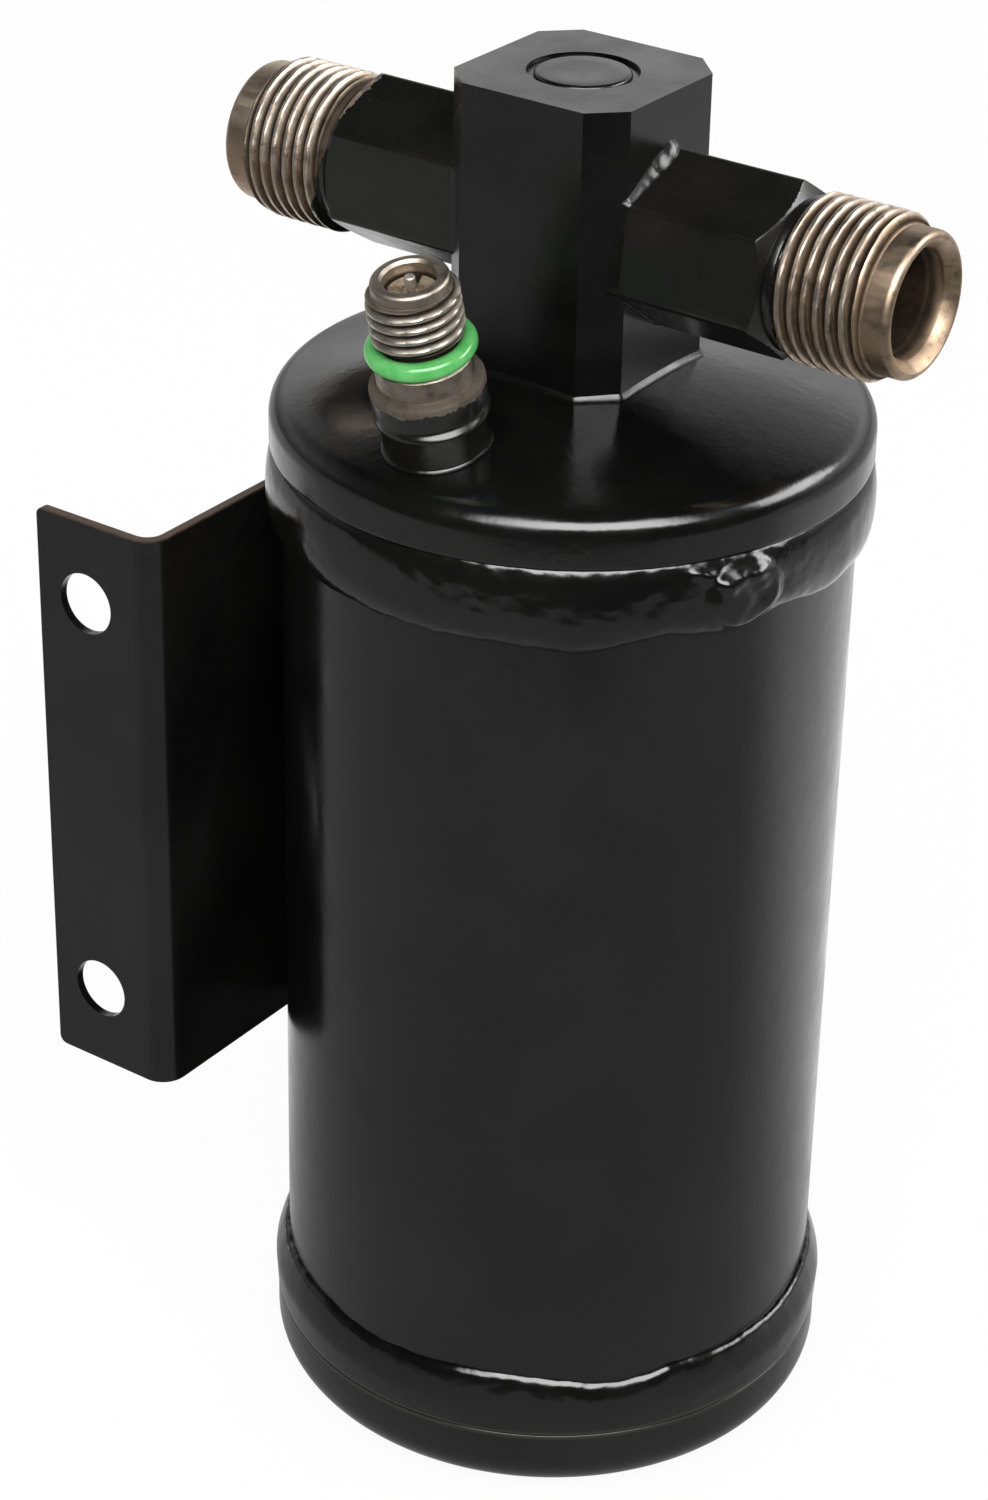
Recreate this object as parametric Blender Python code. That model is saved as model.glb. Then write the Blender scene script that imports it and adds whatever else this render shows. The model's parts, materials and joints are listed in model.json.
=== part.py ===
"""Receiver drier of a vehicle air conditioner: a welded steel can with a header block on top.

The can holds a desiccant bed between two filter pads, and a pickup tube down its middle.
Two threaded fittings leave the header block along X, and a pressure port with a spring
valve core leans out of the domed head. A folded bracket is welded to the can's side.
Units are metres. The origin is the centre of the flat base and +Z points up.
"""

import math

import bmesh
import bpy
from mathutils import Matrix, Vector

# Clearance between pieces that touch
GAP = 0.0003

# Can
SHELL_DIAMETER = 0.0635
SHELL_WALL = 0.0015
HEAD_WALL = 0.0011
CROWN_Z = 0.1320
CROWN_RADIUS = 0.099
CROWN_KNUCKLE = 0.003
BASE_KNUCKLE = 0.005
TOP_SKIRT = 0.0038
BASE_SKIRT = 0.0038
TOP_BEAD_HEIGHT = 0.0084
BASE_BEAD_HEIGHT = 0.0061
BEAD_TOE = 0.00025
BEAD_CROWN = 0.00075

# Header block
BLOCK_WIDTH = 0.0222
BLOCK_CHAMFER = 0.0035
BLOCK_HEIGHT = 0.0309
BLOCK_SPIGOT_RADIUS = 0.0095
BLOCK_SPIGOT_DEPTH = 0.0032
BLOCK_WELD_LEG = 0.0012
RISER_RADIUS = 0.0043
DROP_HOLE_RADIUS = 0.0018
DROP_HOLE_X = 0.0070
PLUG_RADIUS = 0.0052
PLUG_DEPTH = 0.0040
PLUG_RECESS_RADIUS = 0.0060
PLUG_RECESS_DEPTH = 0.0006

# Pipe fittings
FITTING_HEIGHT = 0.0152
INLET_TURN = math.radians(-6)
OUTLET_TURN = math.radians(-3)
HEX_ACROSS_FLATS = 0.0168
HEX_LENGTH = 0.0153
HEX_CHAMFER_LENGTH = 0.0011
COLLAR_RADIUS = 0.0082
COLLAR_LENGTH = 0.0012
THREAD_RADIUS = 0.0089
THREAD_LENGTH = 0.0102
THREAD_CHAMFER = 0.0006
NOSE_RADIUS = 0.0078
NOSE_LENGTH = 0.0031
NOSE_BEVEL = 0.0003
MOUTH_RADIUS = 0.0069
BORE_RADIUS = 0.0058
BORE_DEPTH = 0.0090
PASSAGE_RADIUS = 0.0036
SOCKET_RADIUS = 0.0063
SOCKET_DEPTH = 0.0024
FITTING_WELD_LEG = 0.0013

# Pressure port, measured along its own axis from the head's outer surface
PORT_REACH = 0.0241
PORT_AZIMUTH = math.radians(-91.5)
PORT_ROOT_RADIUS = 0.0053
PORT_ROOT_DEPTH = 0.0032
PORT_NECK_RADIUS = 0.00565
PORT_NECK_LENGTH = 0.0039
PORT_COLLAR_RADIUS = 0.0061
PORT_COLLAR_LENGTH = 0.0041
PORT_BAND_RADIUS = 0.00515
PORT_BAND_LENGTH = 0.0028
PORT_THREAD_RADIUS = 0.00495
PORT_THREAD_LENGTH = 0.0058
PORT_THREAD_CHAMFER = 0.0005
PORT_NOSE_RADIUS = 0.00415
PORT_NOSE_LENGTH = 0.0014
PORT_BORE_RADIUS = 0.00285
PORT_BORE_DEPTH = 0.0066
PORT_PASSAGE_RADIUS = 0.0023
PORT_BRAZE_LEG = 0.0011
ORING_CORD = 0.00178
ORING_RING_RADIUS = 0.0049

# Valve core, measured from the port's mouth
CORE_RECESS = 0.0016
CORE_CAVITY_RADIUS = 0.00175
CORE_CAVITY_DEPTH = 0.0039
CORE_BARREL_RADIUS = 0.00125
CORE_BARREL_LENGTH = 0.0061
CORE_SLOT_WIDTH = 0.0009
CORE_SLOT_DEPTH = 0.0013
CORE_GASKET_LENGTH = 0.0012
PIN_RADIUS = 0.00045
PIN_TIP_RADIUS = 0.00075
PIN_TIP_LENGTH = 0.0011
PIN_COLLAR_RADIUS = 0.0014
PIN_COLLAR_LENGTH = 0.0005
PIN_COLLAR_DEPTH = 0.0024
POPPET_RADIUS = 0.0012
POPPET_LENGTH = 0.0007
POPPET_SEAL_RADIUS = 0.0015
POPPET_SEAL_LENGTH = 0.0009
VALVE_SPRING_RADIUS = 0.00125
VALVE_SPRING_WIRE = 0.0002
VALVE_SPRING_TURNS = 3

# Mounting bracket
BRACKET_SHEET = 0.0010
BRACKET_HEIGHT = 0.0710
BRACKET_BEAD_CLEARANCE = 0.00054
BRACKET_STANDOFF = 0.0018
BRACKET_FLANGE_WIDTH = 0.0167
BRACKET_BEND = 0.0030
BRACKET_CORNER = 0.0010
BRACKET_HOLE_RADIUS = 0.00365
BRACKET_HOLE_SPACING = 0.0508
BRACKET_HOLE_INSET = 0.0068
SADDLE_ANGLE = math.radians(40)
SADDLE_TRIM = 0.0030
BRACKET_WELD_LENGTH = 0.0200
BRACKET_WELD_WIDTH = 0.0016
BRACKET_WELD_THROAT = 0.0010
BRACKET_WELD_SPACING = 0.0380

# Inside the can
TUBE_RADIUS = 0.0040
TUBE_WALL = 0.0008
TUBE_LOWER_Z = 0.0100
TUBE_ENGAGEMENT = 0.0075
STRAINER_RADIUS = 0.0070
STRAINER_WALL = 0.0008
STRAINER_LOWER_Z = 0.0045
STRAINER_HEIGHT = 0.0140
STRAINER_WINDOWS = 6
DECK_Z = 0.0240
DECK_SHEET = 0.0012
DECK_SKIRT = 0.0010
PLATE_RIM = 0.0040
PLATE_HOLE_RADIUS = 0.0018
PLATE_HOLE_RINGS = ((0.0110, 6), (0.0190, 10))
PAD_THICKNESS = 0.0060
BED_HEIGHT = 0.0550
BED_SPRING_WIRE = 0.0009
BED_SPRING_LOWER_RADIUS = 0.0230
BED_SPRING_UPPER_RADIUS = 0.0128
BED_SPRING_TURNS = 4.5
BED_SPRING_END_TURNS = 0.75

# Facets around each kind of round piece
CAN_SEGMENTS = 48
FITTING_SEGMENTS = 30
PORT_SEGMENTS = 20
CORE_SEGMENTS = 16
HOLE_SEGMENTS = 24
SMALL_HOLE_SEGMENTS = 6
SPRING_STEPS_PER_TURN = 16

# Sizes that follow from the ones above
SHELL_RADIUS = SHELL_DIAMETER / 2
SHELL_INSIDE = SHELL_RADIUS - SHELL_WALL
HEAD_INSIDE = SHELL_RADIUS + GAP
HEAD_RADIUS = HEAD_INSIDE + HEAD_WALL
CROWN_CENTRE_Z = CROWN_Z - CROWN_RADIUS
KNUCKLE_REACH = HEAD_RADIUS - CROWN_KNUCKLE
CROWN_SIDE_Z = CROWN_CENTRE_Z + math.sqrt((CROWN_RADIUS - CROWN_KNUCKLE) ** 2 - KNUCKLE_REACH**2)
TOP_SKIRT_Z = CROWN_SIDE_Z - TOP_SKIRT
BASE_SKIRT_Z = BASE_KNUCKLE + BASE_SKIRT
BLOCK_HALF = BLOCK_WIDTH / 2
BLOCK_HOLE_RADIUS = BLOCK_SPIGOT_RADIUS + GAP
HEX_START = BLOCK_HALF + GAP
HEX_END = HEX_START + HEX_LENGTH
COLLAR_START = HEX_END + HEX_CHAMFER_LENGTH
THREAD_START = COLLAR_START + COLLAR_LENGTH
THREAD_END = THREAD_START + THREAD_LENGTH
NOSE_END = THREAD_END + NOSE_LENGTH
PORT_TILT = math.asin(PORT_REACH / CROWN_RADIUS)
PORT_COLLAR_START = PORT_NECK_LENGTH
PORT_BAND_START = PORT_COLLAR_START + PORT_COLLAR_LENGTH
PORT_GROOVE_START = PORT_BAND_START + PORT_BAND_LENGTH
PORT_GROOVE_LENGTH = ORING_CORD + 2 * GAP
PORT_GROOVE_RADIUS = ORING_RING_RADIUS - ORING_CORD / 2 - GAP
PORT_THREAD_START = PORT_GROOVE_START + PORT_GROOVE_LENGTH
PORT_THREAD_END = PORT_THREAD_START + PORT_THREAD_LENGTH
PORT_MOUTH = PORT_THREAD_END + PORT_NOSE_LENGTH
TUBE_HOLE_RADIUS = TUBE_RADIUS + GAP
BED_FILL_RADIUS = SHELL_INSIDE - GAP
BRACKET_FLANGE_Y = -(SHELL_RADIUS + BRACKET_STANDOFF)
BRACKET_TOP_Z = TOP_SKIRT_Z - GAP - TOP_BEAD_HEIGHT - BRACKET_BEAD_CLEARANCE
BRACKET_MIDDLE_Z = BRACKET_TOP_Z - BRACKET_HEIGHT / 2


def crown_z(radius):
    """Height of the domed head's outer surface at a distance from the can's axis."""
    return CROWN_CENTRE_Z + math.sqrt(CROWN_RADIUS**2 - radius**2)


BLOCK_BOTTOM_Z = crown_z(BLOCK_HOLE_RADIUS) + GAP
BLOCK_SPIGOT_Z = BLOCK_BOTTOM_Z - BLOCK_SPIGOT_DEPTH
BLOCK_TOP_Z = BLOCK_BOTTOM_Z + BLOCK_HEIGHT
FITTING_Z = BLOCK_BOTTOM_Z + FITTING_HEIGHT


def clear_scene():
    for item in list(bpy.data.objects):
        bpy.data.objects.remove(item, do_unlink=True)


def material(name, colour, metallic, roughness):
    made = bpy.data.materials.new(name)
    made.use_nodes = True
    shader = made.node_tree.nodes["Principled BSDF"]
    shader.inputs["Base Color"].default_value = (*colour, 1.0)
    shader.inputs["Metallic"].default_value = metallic
    shader.inputs["Roughness"].default_value = roughness
    return made


def add_object(name, shape, finish, smooth_below=35):
    """Turns a bmesh into an object with its faces pointing out."""
    bmesh.ops.recalc_face_normals(shape, faces=shape.faces)
    mesh = bpy.data.meshes.new(name)
    shape.to_mesh(mesh)
    shape.free()
    mesh.shade_smooth()
    mesh.set_sharp_from_angle(angle=math.radians(smooth_below))
    if finish:
        mesh.materials.append(finish)
    made = bpy.data.objects.new(name, mesh)
    bpy.context.scene.collection.objects.link(made)
    return made


def skin(rings, hollow=True):
    """Joins rings of points with quads. A hollow shape's last ring meets its first."""
    shape = bmesh.new()
    loops = [[shape.verts.new(point) for point in ring] for ring in rings]
    pairs = list(zip(loops, loops[1:]))
    if hollow:
        pairs.append((loops[-1], loops[0]))
    else:
        shape.faces.new(loops[0])
        shape.faces.new(loops[-1])
    for first, second in pairs:
        count = len(first)
        for i in range(count):
            j = (i + 1) % count
            shape.faces.new((first[i], first[j], second[j], second[i]))
    return shape


def circle(radius, z, segments, start=0.0):
    step = 2 * math.pi / segments
    return [
        (radius * math.cos(start + i * step), radius * math.sin(start + i * step), z)
        for i in range(segments)
    ]


def turned(profile, segments, hollow=True):
    """A turned shape from (radius, z) points."""
    return skin([circle(radius, z, segments) for radius, z in profile], hollow)


def arc(centre_r, centre_z, radius, first, last, steps):
    """Points of an arc, with angles in degrees from the +r direction."""
    points = []
    for i in range(steps + 1):
        angle = math.radians(first + (last - first) * i / steps)
        points.append((centre_r + radius * math.cos(angle), centre_z + radius * math.sin(angle)))
    return points


def outline_prism(outline, lower, upper):
    """A prism from (x, y) points, between two heights."""
    rings = [[(x, y, z) for x, y in outline] for z in (lower, upper)]
    return skin(rings, hollow=False)


def cutter(name, shape):
    """A helper that is only used to cut, and isn't a piece of the object."""
    made = add_object(name, shape, None)
    made.hide_render = True
    made.display_type = "WIRE"
    return made


def cut(target, tools):
    for tool in tools:
        step = target.modifiers.new(tool.name, "BOOLEAN")
        step.operation = "DIFFERENCE"
        step.solver = "EXACT"
        step.object = tool


def rod(radius, start, end, segments=HOLE_SEGMENTS):
    """A closed cylinder between two points."""
    start, end = Vector(start), Vector(end)
    axis = end - start
    shape = turned([(radius, 0.0), (radius, axis.length)], segments, hollow=False)
    turn = Vector((0, 0, 1)).rotation_difference(axis).to_matrix().to_4x4()
    shape.transform(Matrix.Translation(start) @ turn)
    return shape


def joined(shapes):
    """One bmesh from several that don't meet."""
    whole = bmesh.new()
    for shape in shapes:
        holder = bpy.data.meshes.new("holder")
        shape.to_mesh(holder)
        shape.free()
        whole.from_mesh(holder)
        bpy.data.meshes.remove(holder)
    return whole


def coil(name, points, wire_radius, finish):
    """A round wire along a list of points, as a curve with filled ends."""
    curve = bpy.data.curves.new(name, "CURVE")
    curve.dimensions = "3D"
    curve.bevel_depth = wire_radius
    curve.bevel_resolution = 1
    curve.use_fill_caps = True
    spline = curve.splines.new("POLY")
    spline.points.add(len(points) - 1)
    for target, point in zip(spline.points, points):
        target.co = (*point, 1.0)
    curve.materials.append(finish)
    made = bpy.data.objects.new(name, curve)
    bpy.context.scene.collection.objects.link(made)
    return made


def make_shell_tube(finish):
    lower = BASE_KNUCKLE + GAP
    upper = CROWN_SIDE_Z - GAP
    profile = [(SHELL_RADIUS, lower), (SHELL_RADIUS, upper)]
    profile += [(SHELL_INSIDE, upper), (SHELL_INSIDE, lower)]
    add_object("shell_tube", turned(profile, CAN_SEGMENTS), finish)


def make_top_head(finish, port_hole):
    """A domed cap with a round hole for the block's spigot, slipped over the tube."""
    crown_end = math.asin(KNUCKLE_REACH / (CROWN_RADIUS - CROWN_KNUCKLE))
    hole_angle = math.asin(BLOCK_HOLE_RADIUS / CROWN_RADIUS)
    first, last = (90 - math.degrees(angle) for angle in (hole_angle, crown_end))
    outer = arc(0, CROWN_CENTRE_Z, CROWN_RADIUS, first, last, 3)
    outer += arc(KNUCKLE_REACH, CROWN_SIDE_Z, CROWN_KNUCKLE, last, 0, 4)[1:]
    outer.append((HEAD_RADIUS, TOP_SKIRT_Z))
    inner = [(HEAD_INSIDE, TOP_SKIRT_Z)]
    inner += arc(KNUCKLE_REACH, CROWN_SIDE_Z, CROWN_KNUCKLE - HEAD_WALL, 0, last, 2)
    inner_first = 90 - math.degrees(math.asin(BLOCK_HOLE_RADIUS / (CROWN_RADIUS - HEAD_WALL)))
    inner += arc(0, CROWN_CENTRE_Z, CROWN_RADIUS - HEAD_WALL, last, inner_first, 2)[1:]
    head = add_object("top_head", turned(outer + inner, CAN_SEGMENTS), finish)
    cut(head, [port_hole])


def make_bottom_head(finish):
    """A flat-bottomed cup with rounded corners, closed in the middle."""
    reach = HEAD_RADIUS - BASE_KNUCKLE
    outer = arc(reach, BASE_KNUCKLE, BASE_KNUCKLE, -90, 0, 5) + [(HEAD_RADIUS, BASE_SKIRT_Z)]
    inner = [(HEAD_INSIDE, BASE_SKIRT_Z)]
    inner += arc(reach, BASE_KNUCKLE, BASE_KNUCKLE - HEAD_WALL, 0, -90, 3)
    shape = turned(outer + inner, CAN_SEGMENTS, hollow=False)
    add_object("bottom_head", shape, finish)


def bead_profile(toe_z, head_z, steps=4):
    """A weld bead between the tube and the edge of a head: thin at its toe, proud in between."""
    inside = SHELL_RADIUS + GAP
    toe = inside + BEAD_TOE
    points = []
    for i in range(steps + 1):
        u = i / steps
        bulge = BEAD_CROWN * 4 * u * (1 - u)
        points.append((toe + (HEAD_RADIUS - toe) * u + bulge, toe_z + (head_z - toe_z) * u))
    return points + [(inside, head_z), (inside, toe_z)]


def make_can_beads(finish):
    top_edge = TOP_SKIRT_Z - GAP
    base_edge = BASE_SKIRT_Z + GAP
    top = bead_profile(top_edge - TOP_BEAD_HEIGHT, top_edge)
    base = bead_profile(base_edge + BASE_BEAD_HEIGHT, base_edge)
    add_object("top_weld_bead", turned(top, CAN_SEGMENTS), finish)
    add_object("bottom_weld_bead", turned(base, CAN_SEGMENTS), finish)


def block_outline(offset):
    """The block's square with cut corners, grown by an offset, as (x, y) points."""
    half = BLOCK_HALF + offset
    side = BLOCK_HALF - BLOCK_CHAMFER + offset * math.tan(math.radians(22.5))
    middle = (half + side) / 2
    points = []
    for turn in range(4):
        angle = math.radians(90 * turn)
        for x, y in ((half, 0.0), (half, side), (middle, middle), (side, half)):
            points.append((
                x * math.cos(angle) - y * math.sin(angle),
                x * math.sin(angle) + y * math.cos(angle),
            ))
    return points


def make_header_block(finish):
    body = outline_prism(block_outline(0.0), BLOCK_BOTTOM_Z, BLOCK_TOP_Z)
    block = add_object("header_block", body, finish, smooth_below=20)
    spigot = cutter("spigot", rod(BLOCK_SPIGOT_RADIUS, (0, 0, BLOCK_SPIGOT_Z), (0, 0, FITTING_Z)))
    join = block.modifiers.new("spigot", "BOOLEAN")
    join.operation = "UNION"
    join.solver = "EXACT"
    join.object = spigot
    past = 0.001
    counterbore_z = BLOCK_TOP_Z - PLUG_DEPTH
    recess_z = BLOCK_TOP_Z - PLUG_RECESS_DEPTH
    socket = BLOCK_HALF - SOCKET_DEPTH - GAP
    bottom = BLOCK_SPIGOT_Z - past
    top = BLOCK_TOP_Z + past
    drop_wall = DROP_HOLE_X - DROP_HOLE_RADIUS
    cut(block, [
        cutter("riser", rod(RISER_RADIUS, (0, 0, bottom), (0, 0, counterbore_z))),
        cutter("plug_seat", rod(PLUG_RADIUS + GAP, (0, 0, counterbore_z - GAP), (0, 0, top))),
        cutter("plug_recess", rod(PLUG_RECESS_RADIUS, (0, 0, recess_z), (0, 0, top))),
        cutter("inlet_socket", rod(
            SOCKET_RADIUS, (socket, 0, FITTING_Z), (BLOCK_HALF + past, 0, FITTING_Z))),
        cutter("outlet_socket", rod(
            SOCKET_RADIUS, (-socket, 0, FITTING_Z), (-BLOCK_HALF - past, 0, FITTING_Z))),
        cutter("inlet_passage", rod(
            PASSAGE_RADIUS, (drop_wall, 0, FITTING_Z), (socket + past, 0, FITTING_Z))),
        cutter("outlet_passage", rod(
            PASSAGE_RADIUS, (0, 0, FITTING_Z), (-socket - past, 0, FITTING_Z))),
        cutter("drop_hole", rod(
            DROP_HOLE_RADIUS, (DROP_HOLE_X, 0, bottom), (DROP_HOLE_X, 0, FITTING_Z), 12)),
    ])


def make_passage_plug(finish):
    lower = BLOCK_TOP_Z - PLUG_DEPTH
    edge = 0.0003
    profile = [
        (PLUG_RADIUS, lower),
        (PLUG_RADIUS, BLOCK_TOP_Z - edge),
        (PLUG_RADIUS - edge, BLOCK_TOP_Z),
    ]
    add_object("passage_plug", turned(profile, HOLE_SEGMENTS, hollow=False), finish)


def make_block_weld(finish):
    """A fillet that follows the block's foot and the dome under it."""
    inner = block_outline(GAP)
    outer = block_outline(GAP + BLOCK_WELD_LEG)

    def on_dome(points, lift):
        return [(x, y, crown_z(math.hypot(x, y)) + GAP + lift) for x, y in points]

    toe = BEAD_TOE
    upper = [(x, y, BLOCK_BOTTOM_Z + BLOCK_WELD_LEG / 2) for x, y in inner]
    rings = [on_dome(inner, 0.0), upper, on_dome(outer, toe), on_dome(outer, 0.0)]
    add_object("block_base_weld", skin(rings), finish, smooth_below=20)


def hex_radius(angle):
    """Distance from a hexagon's centre to its side, at an angle from one of its corners."""
    sixth = math.radians(60)
    return HEX_ACROSS_FLATS / 2 / math.cos(angle % sixth - sixth / 2)


def fitting_shape(side, turn):
    """A hexagon with a threaded nose along +X or -X, open right through."""
    segments = FITTING_SEGMENTS
    corner = HEX_ACROSS_FLATS / math.sqrt(3)
    flat = HEX_ACROSS_FLATS / 2
    step = 2 * math.pi / segments

    def ring(x, radius, hexagon=False):
        points = []
        for i in range(segments):
            reach = min(radius, hex_radius(i * step)) if hexagon else radius
            angle = math.pi / 2 + turn + i * step
            points.append((side * x, reach * math.cos(angle), FITTING_Z + reach * math.sin(angle)))
        return points

    spigot = SOCKET_RADIUS - GAP
    spigot_end = BLOCK_HALF - SOCKET_DEPTH
    rings = [ring(spigot_end, spigot), ring(HEX_START, spigot), ring(HEX_START, corner, True)]
    for i in range(4):
        u = i / 3
        rings.append(ring(HEX_END + HEX_CHAMFER_LENGTH * u, corner + (flat - corner) * u, True))
    rings.append(ring(COLLAR_START, COLLAR_RADIUS))
    rings.append(ring(THREAD_START, COLLAR_RADIUS))
    rings.append(ring(THREAD_START, THREAD_RADIUS - THREAD_CHAMFER))
    rings.append(ring(THREAD_START + THREAD_CHAMFER, THREAD_RADIUS))
    rings.append(ring(THREAD_END - THREAD_CHAMFER, THREAD_RADIUS))
    rings.append(ring(THREAD_END, THREAD_RADIUS - THREAD_CHAMFER))
    rings.append(ring(THREAD_END, NOSE_RADIUS))
    rings.append(ring(NOSE_END - NOSE_BEVEL, NOSE_RADIUS))
    rings.append(ring(NOSE_END, NOSE_RADIUS - NOSE_BEVEL))
    rings.append(ring(NOSE_END, MOUTH_RADIUS))
    rings.append(ring(NOSE_END - (MOUTH_RADIUS - BORE_RADIUS), BORE_RADIUS))
    rings.append(ring(NOSE_END - BORE_DEPTH, BORE_RADIUS))
    rings.append(ring(NOSE_END - BORE_DEPTH, PASSAGE_RADIUS))
    rings.append(ring(spigot_end, PASSAGE_RADIUS))
    return skin(rings)


def fitting_weld_shape(side, turn):
    """A fillet around the hexagon's foot, against the block's side."""
    segments = FITTING_SEGMENTS
    step = 2 * math.pi / segments
    foot = BLOCK_HALF + GAP

    def ring(x, leg):
        points = []
        for i in range(segments):
            reach = hex_radius(i * step) + leg
            angle = math.pi / 2 + turn + i * step
            points.append((side * x, reach * math.cos(angle), FITTING_Z + reach * math.sin(angle)))
        return points

    rings = [
        ring(foot, GAP),
        ring(foot + FITTING_WELD_LEG, GAP),
        ring(foot + BEAD_TOE, GAP + FITTING_WELD_LEG),
        ring(foot, GAP + FITTING_WELD_LEG),
    ]
    return skin(rings)


def make_fittings(bare, weld_finish):
    for name, side, turn in (("inlet_fitting", 1, INLET_TURN), ("outlet_fitting", -1, OUTLET_TURN)):
        add_object(name, fitting_shape(side, turn), bare, smooth_below=25)
        add_object(name + "_weld", fitting_weld_shape(side, turn), weld_finish, smooth_below=25)


def port_frame():
    """An empty on the head's surface whose Z is the port's axis, square to the dome."""
    frame = bpy.data.objects.new("port_axis", None)
    bpy.context.scene.collection.objects.link(frame)
    x = PORT_REACH * math.cos(PORT_AZIMUTH)
    y = PORT_REACH * math.sin(PORT_AZIMUTH)
    turn = Matrix.Rotation(PORT_AZIMUTH, 4, "Z") @ Matrix.Rotation(PORT_TILT, 4, "Y")
    frame.matrix_world = Matrix.Translation((x, y, crown_z(PORT_REACH))) @ turn
    return frame


def on_port(item, frame):
    item.parent = frame
    return item


def port_profile():
    edge = 0.0004
    points = [
        (PORT_ROOT_RADIUS, -PORT_ROOT_DEPTH),
        (PORT_ROOT_RADIUS, GAP),
        (PORT_NECK_RADIUS, GAP),
        (PORT_NECK_RADIUS, PORT_COLLAR_START),
        (PORT_COLLAR_RADIUS, PORT_COLLAR_START + edge),
        (PORT_COLLAR_RADIUS, PORT_BAND_START - edge),
        (PORT_COLLAR_RADIUS - edge, PORT_BAND_START),
        (PORT_BAND_RADIUS, PORT_BAND_START),
        (PORT_BAND_RADIUS, PORT_GROOVE_START),
        (PORT_GROOVE_RADIUS, PORT_GROOVE_START),
        (PORT_GROOVE_RADIUS, PORT_THREAD_START),
    ]
    points += [
        (PORT_THREAD_RADIUS - PORT_THREAD_CHAMFER, PORT_THREAD_START),
        (PORT_THREAD_RADIUS, PORT_THREAD_START + PORT_THREAD_CHAMFER),
        (PORT_THREAD_RADIUS, PORT_THREAD_END - PORT_THREAD_CHAMFER),
        (PORT_THREAD_RADIUS - PORT_THREAD_CHAMFER, PORT_THREAD_END),
        (PORT_NOSE_RADIUS, PORT_THREAD_END),
        (PORT_NOSE_RADIUS, PORT_MOUTH - edge),
        (PORT_NOSE_RADIUS - edge, PORT_MOUTH),
        (PORT_BORE_RADIUS, PORT_MOUTH),
        (PORT_BORE_RADIUS, PORT_MOUTH - PORT_BORE_DEPTH),
        (PORT_PASSAGE_RADIUS, PORT_MOUTH - PORT_BORE_DEPTH),
        (PORT_PASSAGE_RADIUS, -PORT_ROOT_DEPTH),
    ]
    return points


def make_port(frame, bare, weld_finish, rubber):
    body = turned(port_profile(), PORT_SEGMENTS)
    on_port(add_object("pressure_port", body, bare, smooth_below=25), frame)
    inner = PORT_NECK_RADIUS + GAP
    foot = 2 * GAP
    ring = [
        (inner, foot),
        (inner, foot + PORT_BRAZE_LEG),
        (inner + PORT_BRAZE_LEG, foot + BEAD_TOE - GAP),
        (inner + PORT_BRAZE_LEG, foot - GAP),
    ]
    on_port(add_object("port_braze_ring", turned(ring, PORT_SEGMENTS), weld_finish), frame)
    middle = PORT_GROOVE_START + PORT_GROOVE_LENGTH / 2
    section = arc(ORING_RING_RADIUS, middle, ORING_CORD / 2, 0, 360, 8)[:-1]
    on_port(add_object("port_oring", turned(section, PORT_SEGMENTS), rubber, 60), frame)


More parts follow.
